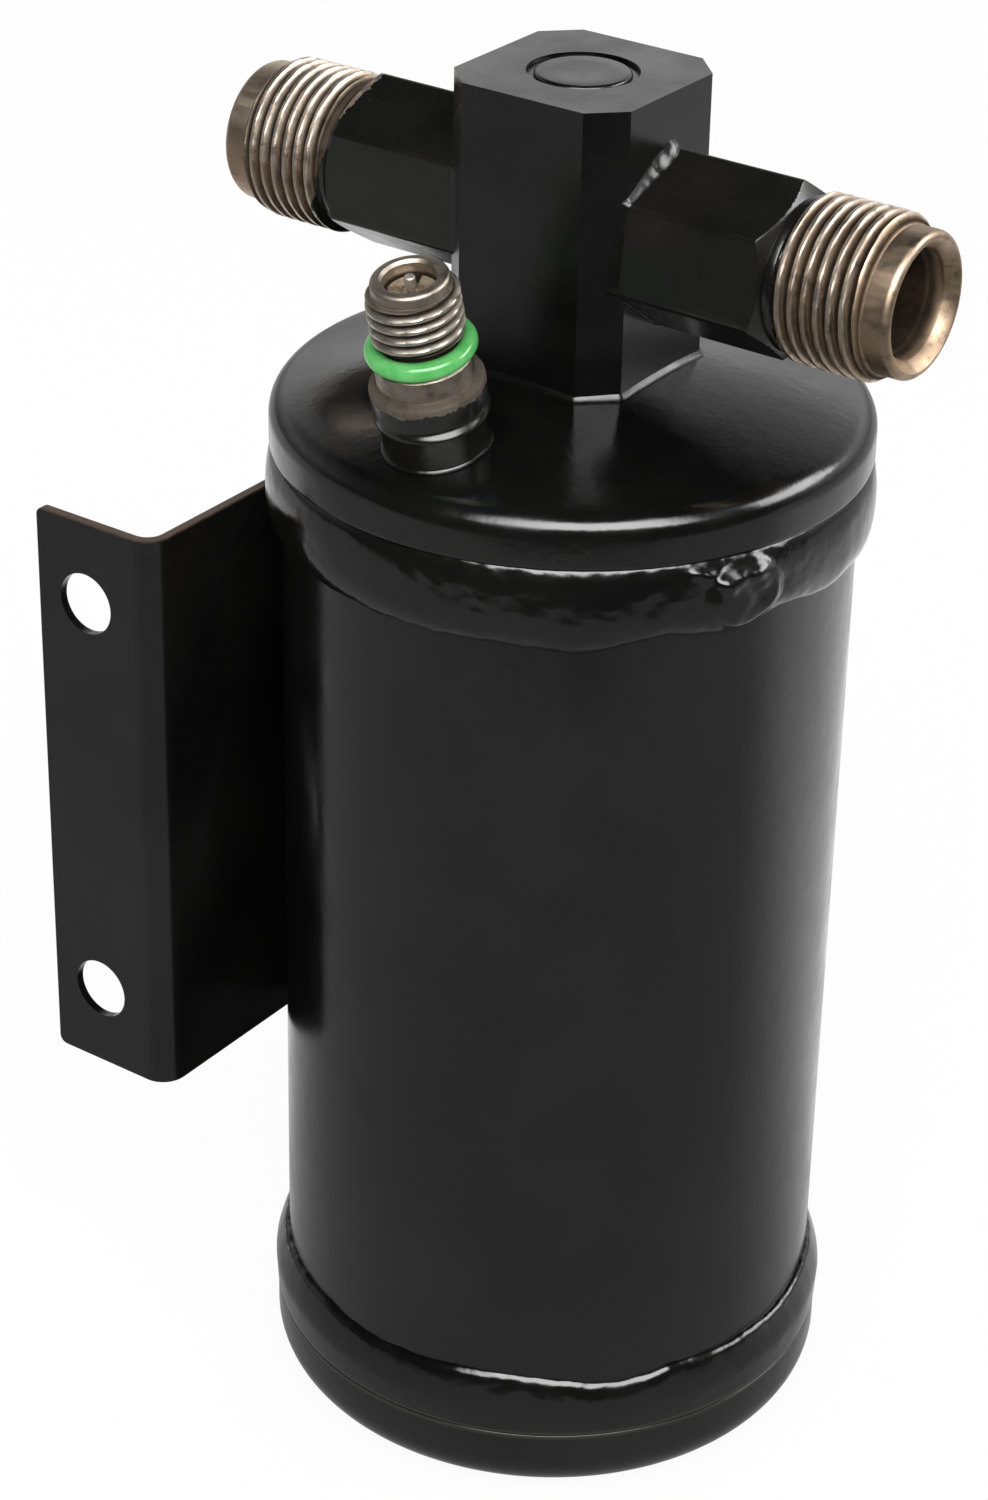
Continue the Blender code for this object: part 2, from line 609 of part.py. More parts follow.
def make_valve_core(frame, brass, steel, rubber):
    """The core's fixed body and gasket, its sliding pin with a seal, and its spring."""
    head_radius = PORT_BORE_RADIUS - GAP
    head_top = PORT_MOUTH - CORE_RECESS
    head_bottom = PORT_MOUTH - PORT_BORE_DEPTH + GAP
    cavity_floor = head_top - CORE_CAVITY_DEPTH
    barrel_end = head_bottom - CORE_BARREL_LENGTH
    pin_hole = PIN_RADIUS + GAP
    body_profile = [
        (CORE_BARREL_RADIUS, barrel_end),
        (CORE_BARREL_RADIUS, head_bottom),
        (head_radius, head_bottom),
        (head_radius, head_top),
        (CORE_CAVITY_RADIUS, head_top),
        (CORE_CAVITY_RADIUS, cavity_floor),
        (pin_hole, cavity_floor),
        (pin_hole, barrel_end),
    ]
    body = add_object("valve_core_body", turned(body_profile, CORE_SEGMENTS), brass, 25)
    on_port(body, frame)
    half, reach = CORE_SLOT_WIDTH / 2, 2 * head_radius
    slot_outline = [(-reach, -half), (reach, -half), (reach, half), (-reach, half)]
    slot = cutter("wrench_slot", outline_prism(slot_outline, head_top - CORE_SLOT_DEPTH, PORT_MOUTH))
    cut(body, [on_port(slot, frame)])

    gasket_top = PORT_MOUTH - PORT_BORE_DEPTH - GAP
    gasket = [
        (CORE_BARREL_RADIUS + GAP, gasket_top - CORE_GASKET_LENGTH),
        (PORT_PASSAGE_RADIUS - GAP, gasket_top - CORE_GASKET_LENGTH),
        (PORT_PASSAGE_RADIUS - GAP, gasket_top),
        (CORE_BARREL_RADIUS + GAP, gasket_top),
    ]
    on_port(add_object("valve_core_gasket", turned(gasket, CORE_SEGMENTS), rubber), frame)

    seal_top = barrel_end - GAP
    seal_bottom = seal_top - POPPET_SEAL_LENGTH
    poppet_top = seal_bottom - GAP
    collar_top = PORT_MOUTH - PIN_COLLAR_DEPTH
    collar_bottom = collar_top - PIN_COLLAR_LENGTH
    tip_edge = 0.00015
    pin_profile = [
        (POPPET_RADIUS, poppet_top - POPPET_LENGTH),
        (POPPET_RADIUS, poppet_top),
        (PIN_RADIUS, poppet_top),
        (PIN_RADIUS, collar_bottom),
        (PIN_COLLAR_RADIUS, collar_bottom),
        (PIN_COLLAR_RADIUS, collar_top),
        (PIN_RADIUS, collar_top),
        (PIN_RADIUS, PORT_MOUTH - PIN_TIP_LENGTH),
        (PIN_TIP_RADIUS, PORT_MOUTH - PIN_TIP_LENGTH),
        (PIN_TIP_RADIUS, PORT_MOUTH - tip_edge),
        (PIN_TIP_RADIUS - tip_edge, PORT_MOUTH),
    ]
    pin = turned(pin_profile, CORE_SEGMENTS, hollow=False)
    on_port(add_object("valve_pin", pin, steel, 25), frame)
    seal = [
        (pin_hole, seal_bottom),
        (POPPET_SEAL_RADIUS, seal_bottom),
        (POPPET_SEAL_RADIUS, seal_top),
        (pin_hole, seal_top),
    ]
    on_port(add_object("valve_pin_seal", turned(seal, CORE_SEGMENTS), rubber), frame)

    lower = cavity_floor + GAP + VALVE_SPRING_WIRE
    upper = collar_bottom - GAP - VALVE_SPRING_WIRE
    steps = SPRING_STEPS_PER_TURN * VALVE_SPRING_TURNS
    points = []
    for i in range(steps + 1):
        angle = 2 * math.pi * VALVE_SPRING_TURNS * i / steps
        points.append((
            VALVE_SPRING_RADIUS * math.cos(angle),
            VALVE_SPRING_RADIUS * math.sin(angle),
            lower + (upper - lower) * i / steps,
        ))
    on_port(coil("valve_spring", points, VALVE_SPRING_WIRE, steel), frame)


def bracket_path(offset):
    """One face of the folded sheet, at an offset from its middle, from the flange's free edge."""
    web_x = -(SHELL_RADIUS + GAP + BRACKET_SHEET / 2)
    flange_y = BRACKET_FLANGE_Y + BRACKET_SHEET / 2
    free_x = -(SHELL_RADIUS + GAP) - BRACKET_FLANGE_WIDTH
    bend = BRACKET_BEND - BRACKET_SHEET / 2
    points = [(free_x, flange_y - offset)]
    points += arc(web_x - bend, flange_y + bend, bend + offset, -90, 0, 6)
    saddle = -web_x - offset
    points += arc(0, 0, saddle, 180, 180 - math.degrees(SADDLE_ANGLE), 7)
    return points


def rounded_corners(shape, edge_x):
    """Rounds the sheet's free corners, whose edges run along Y at the flange's outer end."""
    corners = []
    for edge in shape.edges:
        first, second = (vert.co for vert in edge.verts)
        across = abs(first.y - second.y) > BRACKET_SHEET / 2
        level = abs(first.z - second.z) < GAP
        at_end = abs(first.x - edge_x) < GAP and abs(second.x - edge_x) < GAP
        if across and level and at_end:
            corners.append(edge)
    bmesh.ops.bevel(
        shape, geom=corners, offset=BRACKET_CORNER, offset_type="OFFSET", segments=3,
        profile=0.5, affect="EDGES",
    )


def make_bracket(finish, weld_finish):
    """A folded sheet: flange with two holes, web, and a saddle that hugs the can."""
    half = BRACKET_SHEET / 2
    outline = bracket_path(half) + bracket_path(-half)[::-1]
    lower = BRACKET_TOP_Z - BRACKET_HEIGHT
    upper = BRACKET_TOP_Z
    shape = outline_prism(outline, lower, upper)
    free_x = -(SHELL_RADIUS + GAP) - BRACKET_FLANGE_WIDTH
    rounded_corners(shape, free_x)
    bracket = add_object("mounting_bracket", shape, finish, smooth_below=25)
    hole_x = free_x + BRACKET_HOLE_INSET
    past = 0.002
    near, far = BRACKET_FLANGE_Y - past, BRACKET_FLANGE_Y + BRACKET_SHEET + past
    tools = []
    for sign in (-1, 1):
        z = BRACKET_MIDDLE_Z + sign * BRACKET_HOLE_SPACING / 2
        hole = rod(BRACKET_HOLE_RADIUS, (hole_x, near, z), (hole_x, far, z))
        tools.append(cutter("bolt_hole", hole))
    reach = SHELL_RADIUS + GAP + BRACKET_SHEET
    trim_outline = [(-2 * reach, 0.0), (0.0, 0.0), (0.0, reach), (-2 * reach, reach)]
    trim = outline_prism(trim_outline, upper - SADDLE_TRIM, upper + past)
    tools.append(cutter("saddle_trim", trim))
    cut(bracket, tools)

    inside = SHELL_RADIUS + GAP
    edge = math.pi - SADDLE_ANGLE - GAP / inside
    toe = edge - BRACKET_WELD_WIDTH / inside
    corners = (
        (inside, edge),
        (inside + BRACKET_WELD_THROAT, edge),
        (inside + BEAD_TOE, toe),
        (inside, toe),
    )
    weld_outline = [(r * math.cos(angle), r * math.sin(angle)) for r, angle in corners]
    for name, sign in (("bracket_lower_weld", -1), ("bracket_upper_weld", 1)):
        middle = BRACKET_MIDDLE_Z + sign * BRACKET_WELD_SPACING / 2
        ends = (middle - BRACKET_WELD_LENGTH / 2, middle + BRACKET_WELD_LENGTH / 2)
        add_object(name, outline_prism(weld_outline, *ends), weld_finish)


def make_pickup(finish, mesh_finish):
    upper = BLOCK_SPIGOT_Z + TUBE_ENGAGEMENT
    inside = TUBE_RADIUS - TUBE_WALL
    tube = [(TUBE_RADIUS, TUBE_LOWER_Z), (TUBE_RADIUS, upper), (inside, upper), (inside, TUBE_LOWER_Z)]
    add_object("pickup_tube", turned(tube, HOLE_SEGMENTS), finish)
    low, high = STRAINER_LOWER_Z, STRAINER_LOWER_Z + STRAINER_HEIGHT
    wall = STRAINER_RADIUS - STRAINER_WALL
    cup = [
        (STRAINER_RADIUS, low),
        (STRAINER_RADIUS, high),
        (TUBE_HOLE_RADIUS, high),
        (TUBE_HOLE_RADIUS, high - STRAINER_WALL),
        (wall, high - STRAINER_WALL),
        (wall, low + STRAINER_WALL),
    ]
    strainer = add_object("pickup_strainer", turned(cup, HOLE_SEGMENTS, hollow=False), mesh_finish)
    window = STRAINER_HEIGHT - 4 * STRAINER_WALL
    half = math.pi * STRAINER_RADIUS / STRAINER_WINDOWS / 2
    shapes = []
    for i in range(STRAINER_WINDOWS // 2):
        outline = [(-1, -1), (1, -1), (1, 1), (-1, 1)]
        corners = [(2 * STRAINER_RADIUS * x, half * y) for x, y in outline]
        shape = outline_prism(corners, low + 2 * STRAINER_WALL, low + 2 * STRAINER_WALL + window)
        shape.transform(Matrix.Rotation(2 * math.pi * i / STRAINER_WINDOWS, 4, "Z"))
        shapes.append(cutter("strainer_window", shape))
    cut(strainer, shapes)


def plate_holes(name, lower, upper):
    """Upright cutters for the rings of small holes in a plate."""
    shapes = []
    for radius, count in PLATE_HOLE_RINGS:
        for i in range(count):
            angle = 2 * math.pi * (i + 0.5) / count
            x, y = radius * math.cos(angle), radius * math.sin(angle)
            shapes.append(rod(PLATE_HOLE_RADIUS, (x, y, lower), (x, y, upper), SMALL_HOLE_SEGMENTS))
    return cutter(name, joined(shapes))


def make_bed(steel, felt, beads, spring_steel):
    """Support deck, filter pads, desiccant, upper plate and the spring that holds them down."""
    outer = BED_FILL_RADIUS
    hole = TUBE_HOLE_RADIUS
    past = 0.001
    knuckle = BASE_KNUCKLE - HEAD_WALL
    beyond = max(0.0, outer - (HEAD_RADIUS - BASE_KNUCKLE))
    foot = BASE_KNUCKLE - math.sqrt(knuckle**2 - beyond**2) + GAP
    deck_top = DECK_Z + DECK_SHEET
    deck = [
        (outer, foot),
        (outer, deck_top),
        (hole, deck_top),
        (hole, DECK_Z),
        (outer - DECK_SKIRT, DECK_Z),
        (outer - DECK_SKIRT, foot),
    ]
    support = add_object("support_deck", turned(deck, CAN_SEGMENTS), steel)
    cut(support, [plate_holes("deck_holes", DECK_Z - past, deck_top + past)])

    def disc(name, lower, height, finish):
        upper = lower + height
        profile = [(outer, lower), (outer, upper), (hole, upper), (hole, lower)]
        return add_object(name, turned(profile, CAN_SEGMENTS), finish), upper + GAP

    lower_pad, level = disc("lower_filter_pad", deck_top + GAP, PAD_THICKNESS, felt)
    bed, level = disc("desiccant_bed", level, BED_HEIGHT, beads)
    upper_pad, level = disc("upper_filter_pad", level, PAD_THICKNESS, felt)
    plate_top = level + DECK_SHEET
    plate = [
        (outer, level),
        (outer, level + PLATE_RIM),
        (outer - DECK_SKIRT, level + PLATE_RIM),
        (outer - DECK_SKIRT, plate_top),
        (hole, plate_top),
        (hole, level),
    ]
    cover = add_object("upper_plate", turned(plate, CAN_SEGMENTS), steel)
    cut(cover, [plate_holes("plate_holes", level - past, plate_top + past)])

    low = plate_top + GAP + BED_SPRING_WIRE
    roof = CROWN_RADIUS - HEAD_WALL
    reach = BED_SPRING_UPPER_RADIUS + BED_SPRING_WIRE
    high = CROWN_CENTRE_Z + math.sqrt(roof**2 - reach**2) - GAP - BED_SPRING_WIRE
    steps = round(SPRING_STEPS_PER_TURN * BED_SPRING_TURNS)
    points = []
    for i in range(steps + 1):
        turn = BED_SPRING_TURNS * i / steps
        active = BED_SPRING_TURNS - 2 * BED_SPRING_END_TURNS
        u = min(1.0, max(0.0, (turn - BED_SPRING_END_TURNS) / active))
        radius = BED_SPRING_LOWER_RADIUS + (BED_SPRING_UPPER_RADIUS - BED_SPRING_LOWER_RADIUS) * u
        angle = 2 * math.pi * turn
        points.append((radius * math.cos(angle), radius * math.sin(angle), low + (high - low) * u))
    coil("bed_spring", points, BED_SPRING_WIRE, spring_steel)


def main():
    clear_scene()
    enamel = material("black_enamel", (0.020, 0.020, 0.019), 0.0, 0.28)
    plated = material("bronze_plated_steel", (0.42, 0.31, 0.24), 1.0, 0.34)
    green = material("green_rubber", (0.12, 0.52, 0.13), 0.0, 0.45)
    rubber = material("black_rubber", (0.02, 0.02, 0.02), 0.0, 0.6)
    brass = material("brass", (0.60, 0.47, 0.28), 1.0, 0.35)
    steel = material("bright_steel", (0.55, 0.54, 0.52), 1.0, 0.35)
    felt = material("white_felt", (0.72, 0.70, 0.64), 0.0, 0.9)
    beads = material("desiccant_beads", (0.66, 0.58, 0.46), 0.0, 0.8)
    frame = port_frame()
    hole = rod(PORT_ROOT_RADIUS + GAP, (0, 0, -PORT_ROOT_DEPTH), (0, 0, PORT_ROOT_DEPTH))
    port_hole = on_port(cutter("port_hole", hole), frame)
    make_shell_tube(enamel)
    make_top_head(enamel, port_hole)
    make_bottom_head(enamel)
    make_can_beads(enamel)
    make_header_block(enamel)
    make_passage_plug(enamel)
    make_block_weld(enamel)
    make_fittings(plated, enamel)
    make_port(frame, plated, enamel, green)
    make_valve_core(frame, brass, steel, rubber)
    make_bracket(enamel, enamel)
    make_pickup(steel, brass)
    make_bed(steel, felt, beads, steel)


main()
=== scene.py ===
"""The finished look of a receiver drier: black enamel over welded steel, with bare threads.

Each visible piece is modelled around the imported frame, in metres and in the frame's own axes.
"""

import functools
import json
import math

import bmesh
import bpy
import numpy as np
from mathutils import Matrix, Vector, noise


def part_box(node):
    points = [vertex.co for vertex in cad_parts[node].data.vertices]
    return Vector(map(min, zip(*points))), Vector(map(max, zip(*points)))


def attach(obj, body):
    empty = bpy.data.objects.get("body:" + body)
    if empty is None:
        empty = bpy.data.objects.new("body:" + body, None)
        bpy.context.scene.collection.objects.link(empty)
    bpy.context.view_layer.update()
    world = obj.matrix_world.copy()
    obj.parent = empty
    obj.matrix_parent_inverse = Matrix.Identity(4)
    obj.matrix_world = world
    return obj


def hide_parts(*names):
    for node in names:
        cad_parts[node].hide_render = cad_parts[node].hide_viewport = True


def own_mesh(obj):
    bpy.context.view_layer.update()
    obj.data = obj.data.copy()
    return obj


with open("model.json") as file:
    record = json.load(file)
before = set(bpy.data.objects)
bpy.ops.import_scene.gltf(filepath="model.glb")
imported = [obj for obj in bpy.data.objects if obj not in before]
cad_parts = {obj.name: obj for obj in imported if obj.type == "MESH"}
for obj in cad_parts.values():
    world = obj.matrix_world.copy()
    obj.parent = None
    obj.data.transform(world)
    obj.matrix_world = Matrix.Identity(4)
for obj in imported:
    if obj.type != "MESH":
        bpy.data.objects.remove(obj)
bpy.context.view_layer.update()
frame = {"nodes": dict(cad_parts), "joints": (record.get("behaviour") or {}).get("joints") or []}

# Camera and light
CAMERA_PLACE = Vector((0.206085, -0.306959, 0.287165))
CAMERA_TARGET = Vector((0.0, -0.0136, 0.087818))
CAMERA_ROLL = math.radians(1.1935)
CAMERA_LENS = 88.53
LAMP_AZIMUTH = math.radians(-49)
LAMP_ELEVATION = math.radians(42)
LAMP_TARGET = Vector((0, 0, 0.1))
LAMP_DISTANCE = 0.85
LAMP_SIZE = (1.00, 0.42)
LAMP_POWER = 4.0
WORLD_LEVEL = 0.55
# What the gloss sees of the sweep behind: height as the sine of the elevation, and brightness
SWEEP_LEVEL = 1.4
SWEEP = (
    (0.0, 0.22), (0.33, 0.94), (0.37, 0.68), (0.45, 0.50),
    (0.56, 0.36), (0.64, 0.22), (0.685, 0.045), (0.72, 0.014),
)
# Azimuths in degrees: where the sweep is darkest, and where the room's left side dims it
SWEEP_FRONT = -56
DIM_SIDE = 190
# Soft lights in the gloss: azimuth, cosines of the soft side edges, heights of the lower and
# upper edges, and brightness
SOFT_LIGHTS = (
    (-48.8, (0.63, 0.91), (0.41, 0.52), (0.77, 0.87), 14.0),
    (42.0, (0.90, 0.975), (0.30, 0.40), (0.58, 0.68), 10.0),
)
FLOOR_HALF = 4.0
# Directions in which the floor's glow changes in the gloss
FLOOR_NEAR = (0.559, -0.829)
FLOOR_BACK = (-0.34, 0.94)

# Sizes read from the frame
SHELL_LOW, SHELL_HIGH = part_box("shell_tube")
HEAD_LOW, HEAD_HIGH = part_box("top_head")
BASE_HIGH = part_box("bottom_head")[1]
TOP_BEAD_LOW, TOP_BEAD_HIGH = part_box("top_weld_bead")
BASE_BEAD_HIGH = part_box("bottom_weld_bead")[1]
BLOCK_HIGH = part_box("header_block")[1]
FITTING_LOW, FITTING_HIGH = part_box("inlet_fitting")
BRACKET_LOW, BRACKET_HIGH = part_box("mounting_bracket")
SHELL_RADIUS = SHELL_HIGH.y
HEAD_RADIUS = HEAD_HIGH.y
BLOCK_HALF = BLOCK_HIGH.x
BLOCK_TOP = BLOCK_HIGH.z
FITTING_Z = (FITTING_LOW.z + FITTING_HIGH.z) / 2
FITTING_END = FITTING_HIGH.x
PORT_AXIS = -Vector(frame["joints"][0]["axis"]).normalized()

# Can
TUBE_WALL = 0.0015
FIT_GAP = 0.0003
CROWN_TOP = 0.1320
CROWN_RADIUS = 0.099
CROWN_KNUCKLE = 0.003
CROWN_START = 0.0098
BASE_KNUCKLE = 0.005
HEAD_WALL = 0.0011
# Half width of the paler grey line along the base seam
SEAM_LINE_HALF_WIDTH = 0.0007
CAP_LIP = 0.0007
SKIRT_RISE = 0.0004
BASE_LIP = 0.00012

# Header block
BLOCK_CHAMFER = 0.0035
BLOCK_EDGE = 0.0004
PLUG_RADIUS = 0.0052
PLUG_RECESS_RADIUS = 0.0060
PLUG_RECESS_DEPTH = 0.0006
PASSAGE_RADIUS = 0.0036
RISER_RADIUS = 0.0043

# Fittings, from the block outwards along X
HEX_START = BLOCK_HALF + 0.0003
HEX_END = 0.0267
COLLAR_START = 0.0278
THREAD_START = 0.0290
THREAD_END = 0.0392
HEX_FLATS = 0.0168
INLET_TURN = math.radians(-6)
OUTLET_TURN = math.radians(-3)
HEX_SHARPNESS = 90
COLLAR_RADIUS = 0.0082
THREAD_RADIUS = 0.0089
THREAD_DEPTH = 0.00092
THREAD_PITCH = 0.0015
NOSE_RADIUS = 0.0078
NOSE_ROUNDING = 0.0008
MOUTH_RADIUS = 0.0069
BORE_RADIUS = 0.0058
BORE_STEP = 0.0030
BORE_INNER_RADIUS = 0.00545
BORE_DEPTH = 0.0090

# Pressure port, along its own axis from the dome
PORT_STATIONS = {"collar": 0.0039, "band": 0.0080, "groove": 0.0108, "thread": 0.01318}
PORT_THREAD_END = 0.01898
PORT_MOUTH = 0.02038
PORT_ROOT = -0.0020
PORT_NECK_RADIUS = 0.00565
PAINT_ROLL = 0.0013
PORT_COLLAR_RADIUS = 0.0061
PORT_BAND_RADIUS = 0.00515
PORT_GROOVE_RADIUS = 0.0038
PORT_THREAD_RADIUS = 0.00495
PORT_THREAD_DEPTH = 0.00072
PORT_THREAD_PITCH = 0.00125
PORT_NOSE_RADIUS = 0.00415
PORT_BORE_RADIUS = 0.00285
PORT_BORE_DEPTH = 0.0066
ORING_CORD = 0.0020
ORING_RADIUS = 0.0049
ORING_PLACE = 0.01199
CORE_RECESS = 0.0016
PIN_TIP_RADIUS = 0.0006
PIN_LENGTH = 0.01443

# Bracket
SHEET = 0.0010
BRACKET_BEND = 0.0030
BRACKET_FREE_X = BRACKET_LOW.x
BRACKET_FACE_Y = BRACKET_LOW.y
BRACKET_HOLE_X = BRACKET_FREE_X + 0.0068
BRACKET_CORNER = 0.0010
BRACKET_HOLE_RADIUS = 0.00365
BRACKET_HOLE_SPACING = 0.0508
BRACKET_EDGE = 0.00025
SADDLE_ANGLE = math.radians(40)
SADDLE_TRIM = 0.003

# Colours, as linear values
ENAMEL = (0.0036, 0.0036, 0.0035)
ENAMEL_LIGHT = (0.0075, 0.0073, 0.0070)
HAZY_ENAMEL = (0.0075, 0.0073, 0.0068)
HAZY_ENAMEL_LIGHT = (0.0120, 0.0115, 0.0105)
BRONZE = (0.34, 0.235, 0.150)
BRONZE_LIGHT = (0.74, 0.635, 0.53)
WARM_STEEL = (0.36, 0.31, 0.255)
WARM_STEEL_LIGHT = (0.62, 0.565, 0.50)
# Grime, also used as painted shade in thread roots and inside bores.
GRIME_AND_SHADE = (0.024, 0.017, 0.012)
# Painted highlight on the bracket sheet's top edge
TOP_EDGE_HIGHLIGHT = (0.075, 0.045, 0.028)
GREEN = (0.11, 0.54, 0.13)
GREEN_LIGHT = (0.19, 0.66, 0.21)
# Paler grey painted along the base seam
SEAM_LINE_GREY = (0.060, 0.058, 0.054)
BRASS = (0.55, 0.46, 0.34)
STEEL = (0.55, 0.53, 0.50)


class Nodes:
    """Builds the nodes of a new material, or of a new world, with short calls."""

    def __init__(self, name, world=False):
        self.owner = (bpy.data.worlds if world else bpy.data.materials).new(name)
        self.owner.use_nodes = True
        self.tree = self.owner.node_tree
        self.shader = self.tree.nodes["Background" if world else "Principled BSDF"]
        self.output = self.tree.nodes["World Output" if world else "Material Output"]
        self.place = self.add("ShaderNodeTexCoord").outputs["Generated" if world else "Object"]

    def add(self, kind, **settings):
        made = self.tree.nodes.new(kind)
        for key, value in settings.items():
            setattr(made, key, value)
        return made

    def link(self, source, target):
        self.tree.links.new(source, target)

    def put(self, socket, value):
        if isinstance(value, bpy.types.NodeSocket):
            self.link(value, socket)
        else:
            socket.default_value = value

    def math(self, operation, first, second=0.0, clamp=False):
        made = self.add("ShaderNodeMath", operation=operation, use_clamp=clamp)
        self.put(made.inputs[0], first)
        self.put(made.inputs[1], second)
        return made.outputs[0]

    def times(self, *values, clamp=False):
        return functools.reduce(lambda a, b: self.math("MULTIPLY", a, b, clamp), values)

    def plus(self, first, second, clamp=False):
        return self.math("ADD", first, second, clamp)

    def minus(self, first, second):
        return self.math("SUBTRACT", first, second)

    def noise(self, scale, detail=3.0, roughness=0.55, place=None):
        made = self.add("ShaderNodeTexNoise")
        self.put(made.inputs["Vector"], place or self.place)
        made.inputs["Scale"].default_value = scale
        made.inputs["Detail"].default_value = detail
        made.inputs["Roughness"].default_value = roughness
        return made.outputs["Fac"]

    def stretched(self, factors):
        """The object's coordinates with each axis scaled, for streaks."""
        made = self.add("ShaderNodeMapping")
        self.put(made.inputs["Vector"], self.place)
        made.inputs["Scale"].default_value = factors
        return made.outputs[0]

    def spread(self, value, low, high, to_low=0.0, to_high=1.0):
        made = self.add("ShaderNodeMapRange", interpolation_type="SMOOTHSTEP")
        self.put(made.inputs["Value"], value)
        ends = {"From Min": low, "From Max": high, "To Min": to_low, "To Max": to_high}
        for key, end in ends.items():
            made.inputs[key].default_value = end
        return made.outputs[0]

    def mix(self, share, first, second):
        made = self.add("ShaderNodeMix", data_type="RGBA")
        self.put(made.inputs["Factor"], share)
        for index, colour in ((6, first), (7, second)):
            full = colour if isinstance(colour, bpy.types.NodeSocket) else (*colour, 1.0)
            self.put(made.inputs[index], full)
        return made.outputs[2]

    def bump(self, height, distance, strength=1.0, after=None):
        made = self.add("ShaderNodeBump")
        self.put(made.inputs["Height"], height)
        made.inputs["Distance"].default_value = distance
        made.inputs["Strength"].default_value = strength
        if after:
            self.link(after, made.inputs["Normal"])
        return made.outputs["Normal"]

    def axes(self, place=None):
        made = self.add("ShaderNodeSeparateXYZ")
        self.link(place or self.place, made.inputs[0])
        return made.outputs

    def dress(self, shader, colour, roughness, normal):
        for key, value in (("Base Color", colour), ("Roughness", roughness), ("Normal", normal)):
            self.put(shader.inputs[key], value)

    def ray(self, kind):
        return self.add("ShaderNodeLightPath").outputs[kind]

    def blend(self, share, first, second):
        """The first shader where share is 0, and the second where it is 1."""
        made = self.add("ShaderNodeMixShader")
        for socket, value in zip(made.inputs, (share, first, second)):
            self.link(value, socket)
        return made.outputs[0]

    def show(self, shader):
        self.link(shader, self.output.inputs["Surface"])


def finish_enamel(
    nodes, shader, peel=0.00002, rough=(0.13, 0.24), top_edge_highlight=None, seam_line=None,
    tones=(ENAMEL, ENAMEL_LIGHT),
):
    """Black enamel with a faint orange peel. It may carry a painted highlight, paler and brown, on
    a top edge, or a paler grey line along a seam, in places.
    """
    patches = nodes.noise(55, 4)
    dust = nodes.spread(nodes.noise(2600, 2), 0.68, 0.76)
    tone = nodes.mix(nodes.spread(patches, 0.35, 0.7), *tones)
    tone = nodes.mix(nodes.times(dust, 0.10), tone, (0.05,) * 3)
    level = nodes.spread(nodes.noise(140, 3), 0.3, 0.7, *rough)
    level = nodes.plus(level, nodes.times(dust, 0.1))
    # Painted highlight: a paler brown, also rougher, where the mask is high.
    if top_edge_highlight:
        tone = nodes.mix(top_edge_highlight, tone, TOP_EDGE_HIGHLIGHT)
        level = nodes.plus(level, nodes.times(top_edge_highlight, 0.35))
    # A paler grey line along the seam.
    if seam_line:
        tone = nodes.mix(seam_line, tone, SEAM_LINE_GREY)
    shader.inputs["IOR"].default_value = 1.5
    coarse = nodes.bump(nodes.noise(420, 2), peel * 2.5, 0.6)
    nodes.dress(shader, tone, level, nodes.bump(nodes.noise(1500, 2), peel, 0.6, coarse))


def enamel(name, peel=0.00002, rough=(0.13, 0.24), seam=None):
    """Black enamel, with a paler grey line painted along a seam at that height."""
    nodes = Nodes(name)
    seam_line = None
    if seam:
        away = nodes.math("ABSOLUTE", nodes.minus(nodes.axes()[2], seam))
        seam_line = nodes.spread(away, 0.0001, SEAM_LINE_HALF_WIDTH, 0.5, 0.0)
    finish_enamel(nodes, nodes.shader, peel, rough, seam_line=seam_line)
    return nodes.owner


def sheared_enamel(name, top):
    """Enamel with a painted highlight, paler and brown, on the sheet's sheared top edge."""
    nodes = Nodes(name)
    height = nodes.axes()[2]
    ragged = nodes.times(nodes.noise(900, 3), 0.0003)
    # Mask of the painted highlight along the top edge
    edge = nodes.spread(nodes.plus(height, ragged), top - 0.0002, top + 0.0001)
    finish_enamel(nodes, nodes.shader, top_edge_highlight=edge)
    return nodes.owner


def finish_bronze(nodes, shader, wear_and_light, dirt_and_shade, tones, rough):
    """Toned plated steel: paler on abraded crests and where light is painted on upper sides, and
    dark with grime and with painted shade in roots and bores.
    """
    patches = nodes.noise(260, 4, 0.6)
    streaks = nodes.noise(900, 3, 0.6, nodes.stretched((0.25, 1.0, 1.0)))
    # Pale tone where metal is abraded, and on the fittings' upper sides as painted light.
    pale_share = nodes.times(wear_and_light, nodes.spread(patches, 0.30, 0.62, 0.5, 1.15), clamp=True)
    metal = nodes.mix(pale_share, *tones)
    stain = nodes.spread(nodes.noise(520, 5, 0.75), 0.47, 0.72)
    metal = nodes.mix(nodes.times(stain, 0.55), metal, GRIME_AND_SHADE)
    # Dark tone: grime, and painted shade in thread roots and inside the bores.
    dark = nodes.times(dirt_and_shade, nodes.spread(patches, 0.2, 0.6, 0.84, 1.0))
    nodes.put(shader.inputs["Metallic"], nodes.spread(dark, 0.2, 0.9, 1.0, 0.0))
    shader.inputs["IOR"].default_value = 1.2
    level = nodes.plus(nodes.spread(streaks, 0.3, 0.7, *rough), nodes.times(dark, 0.42))
    normal = nodes.bump(streaks, 0.00002, 0.5, nodes.bump(patches, 0.00006, 0.4))
    nodes.dress(shader, nodes.mix(dark, metal, GRIME_AND_SHADE), level, normal)


def radial_distance(nodes, first, second):
    """Distance from an axis, from the two coordinates across it."""
    total = nodes.plus(nodes.times(first, first), nodes.times(second, second))
    return nodes.math("SQRT", total)


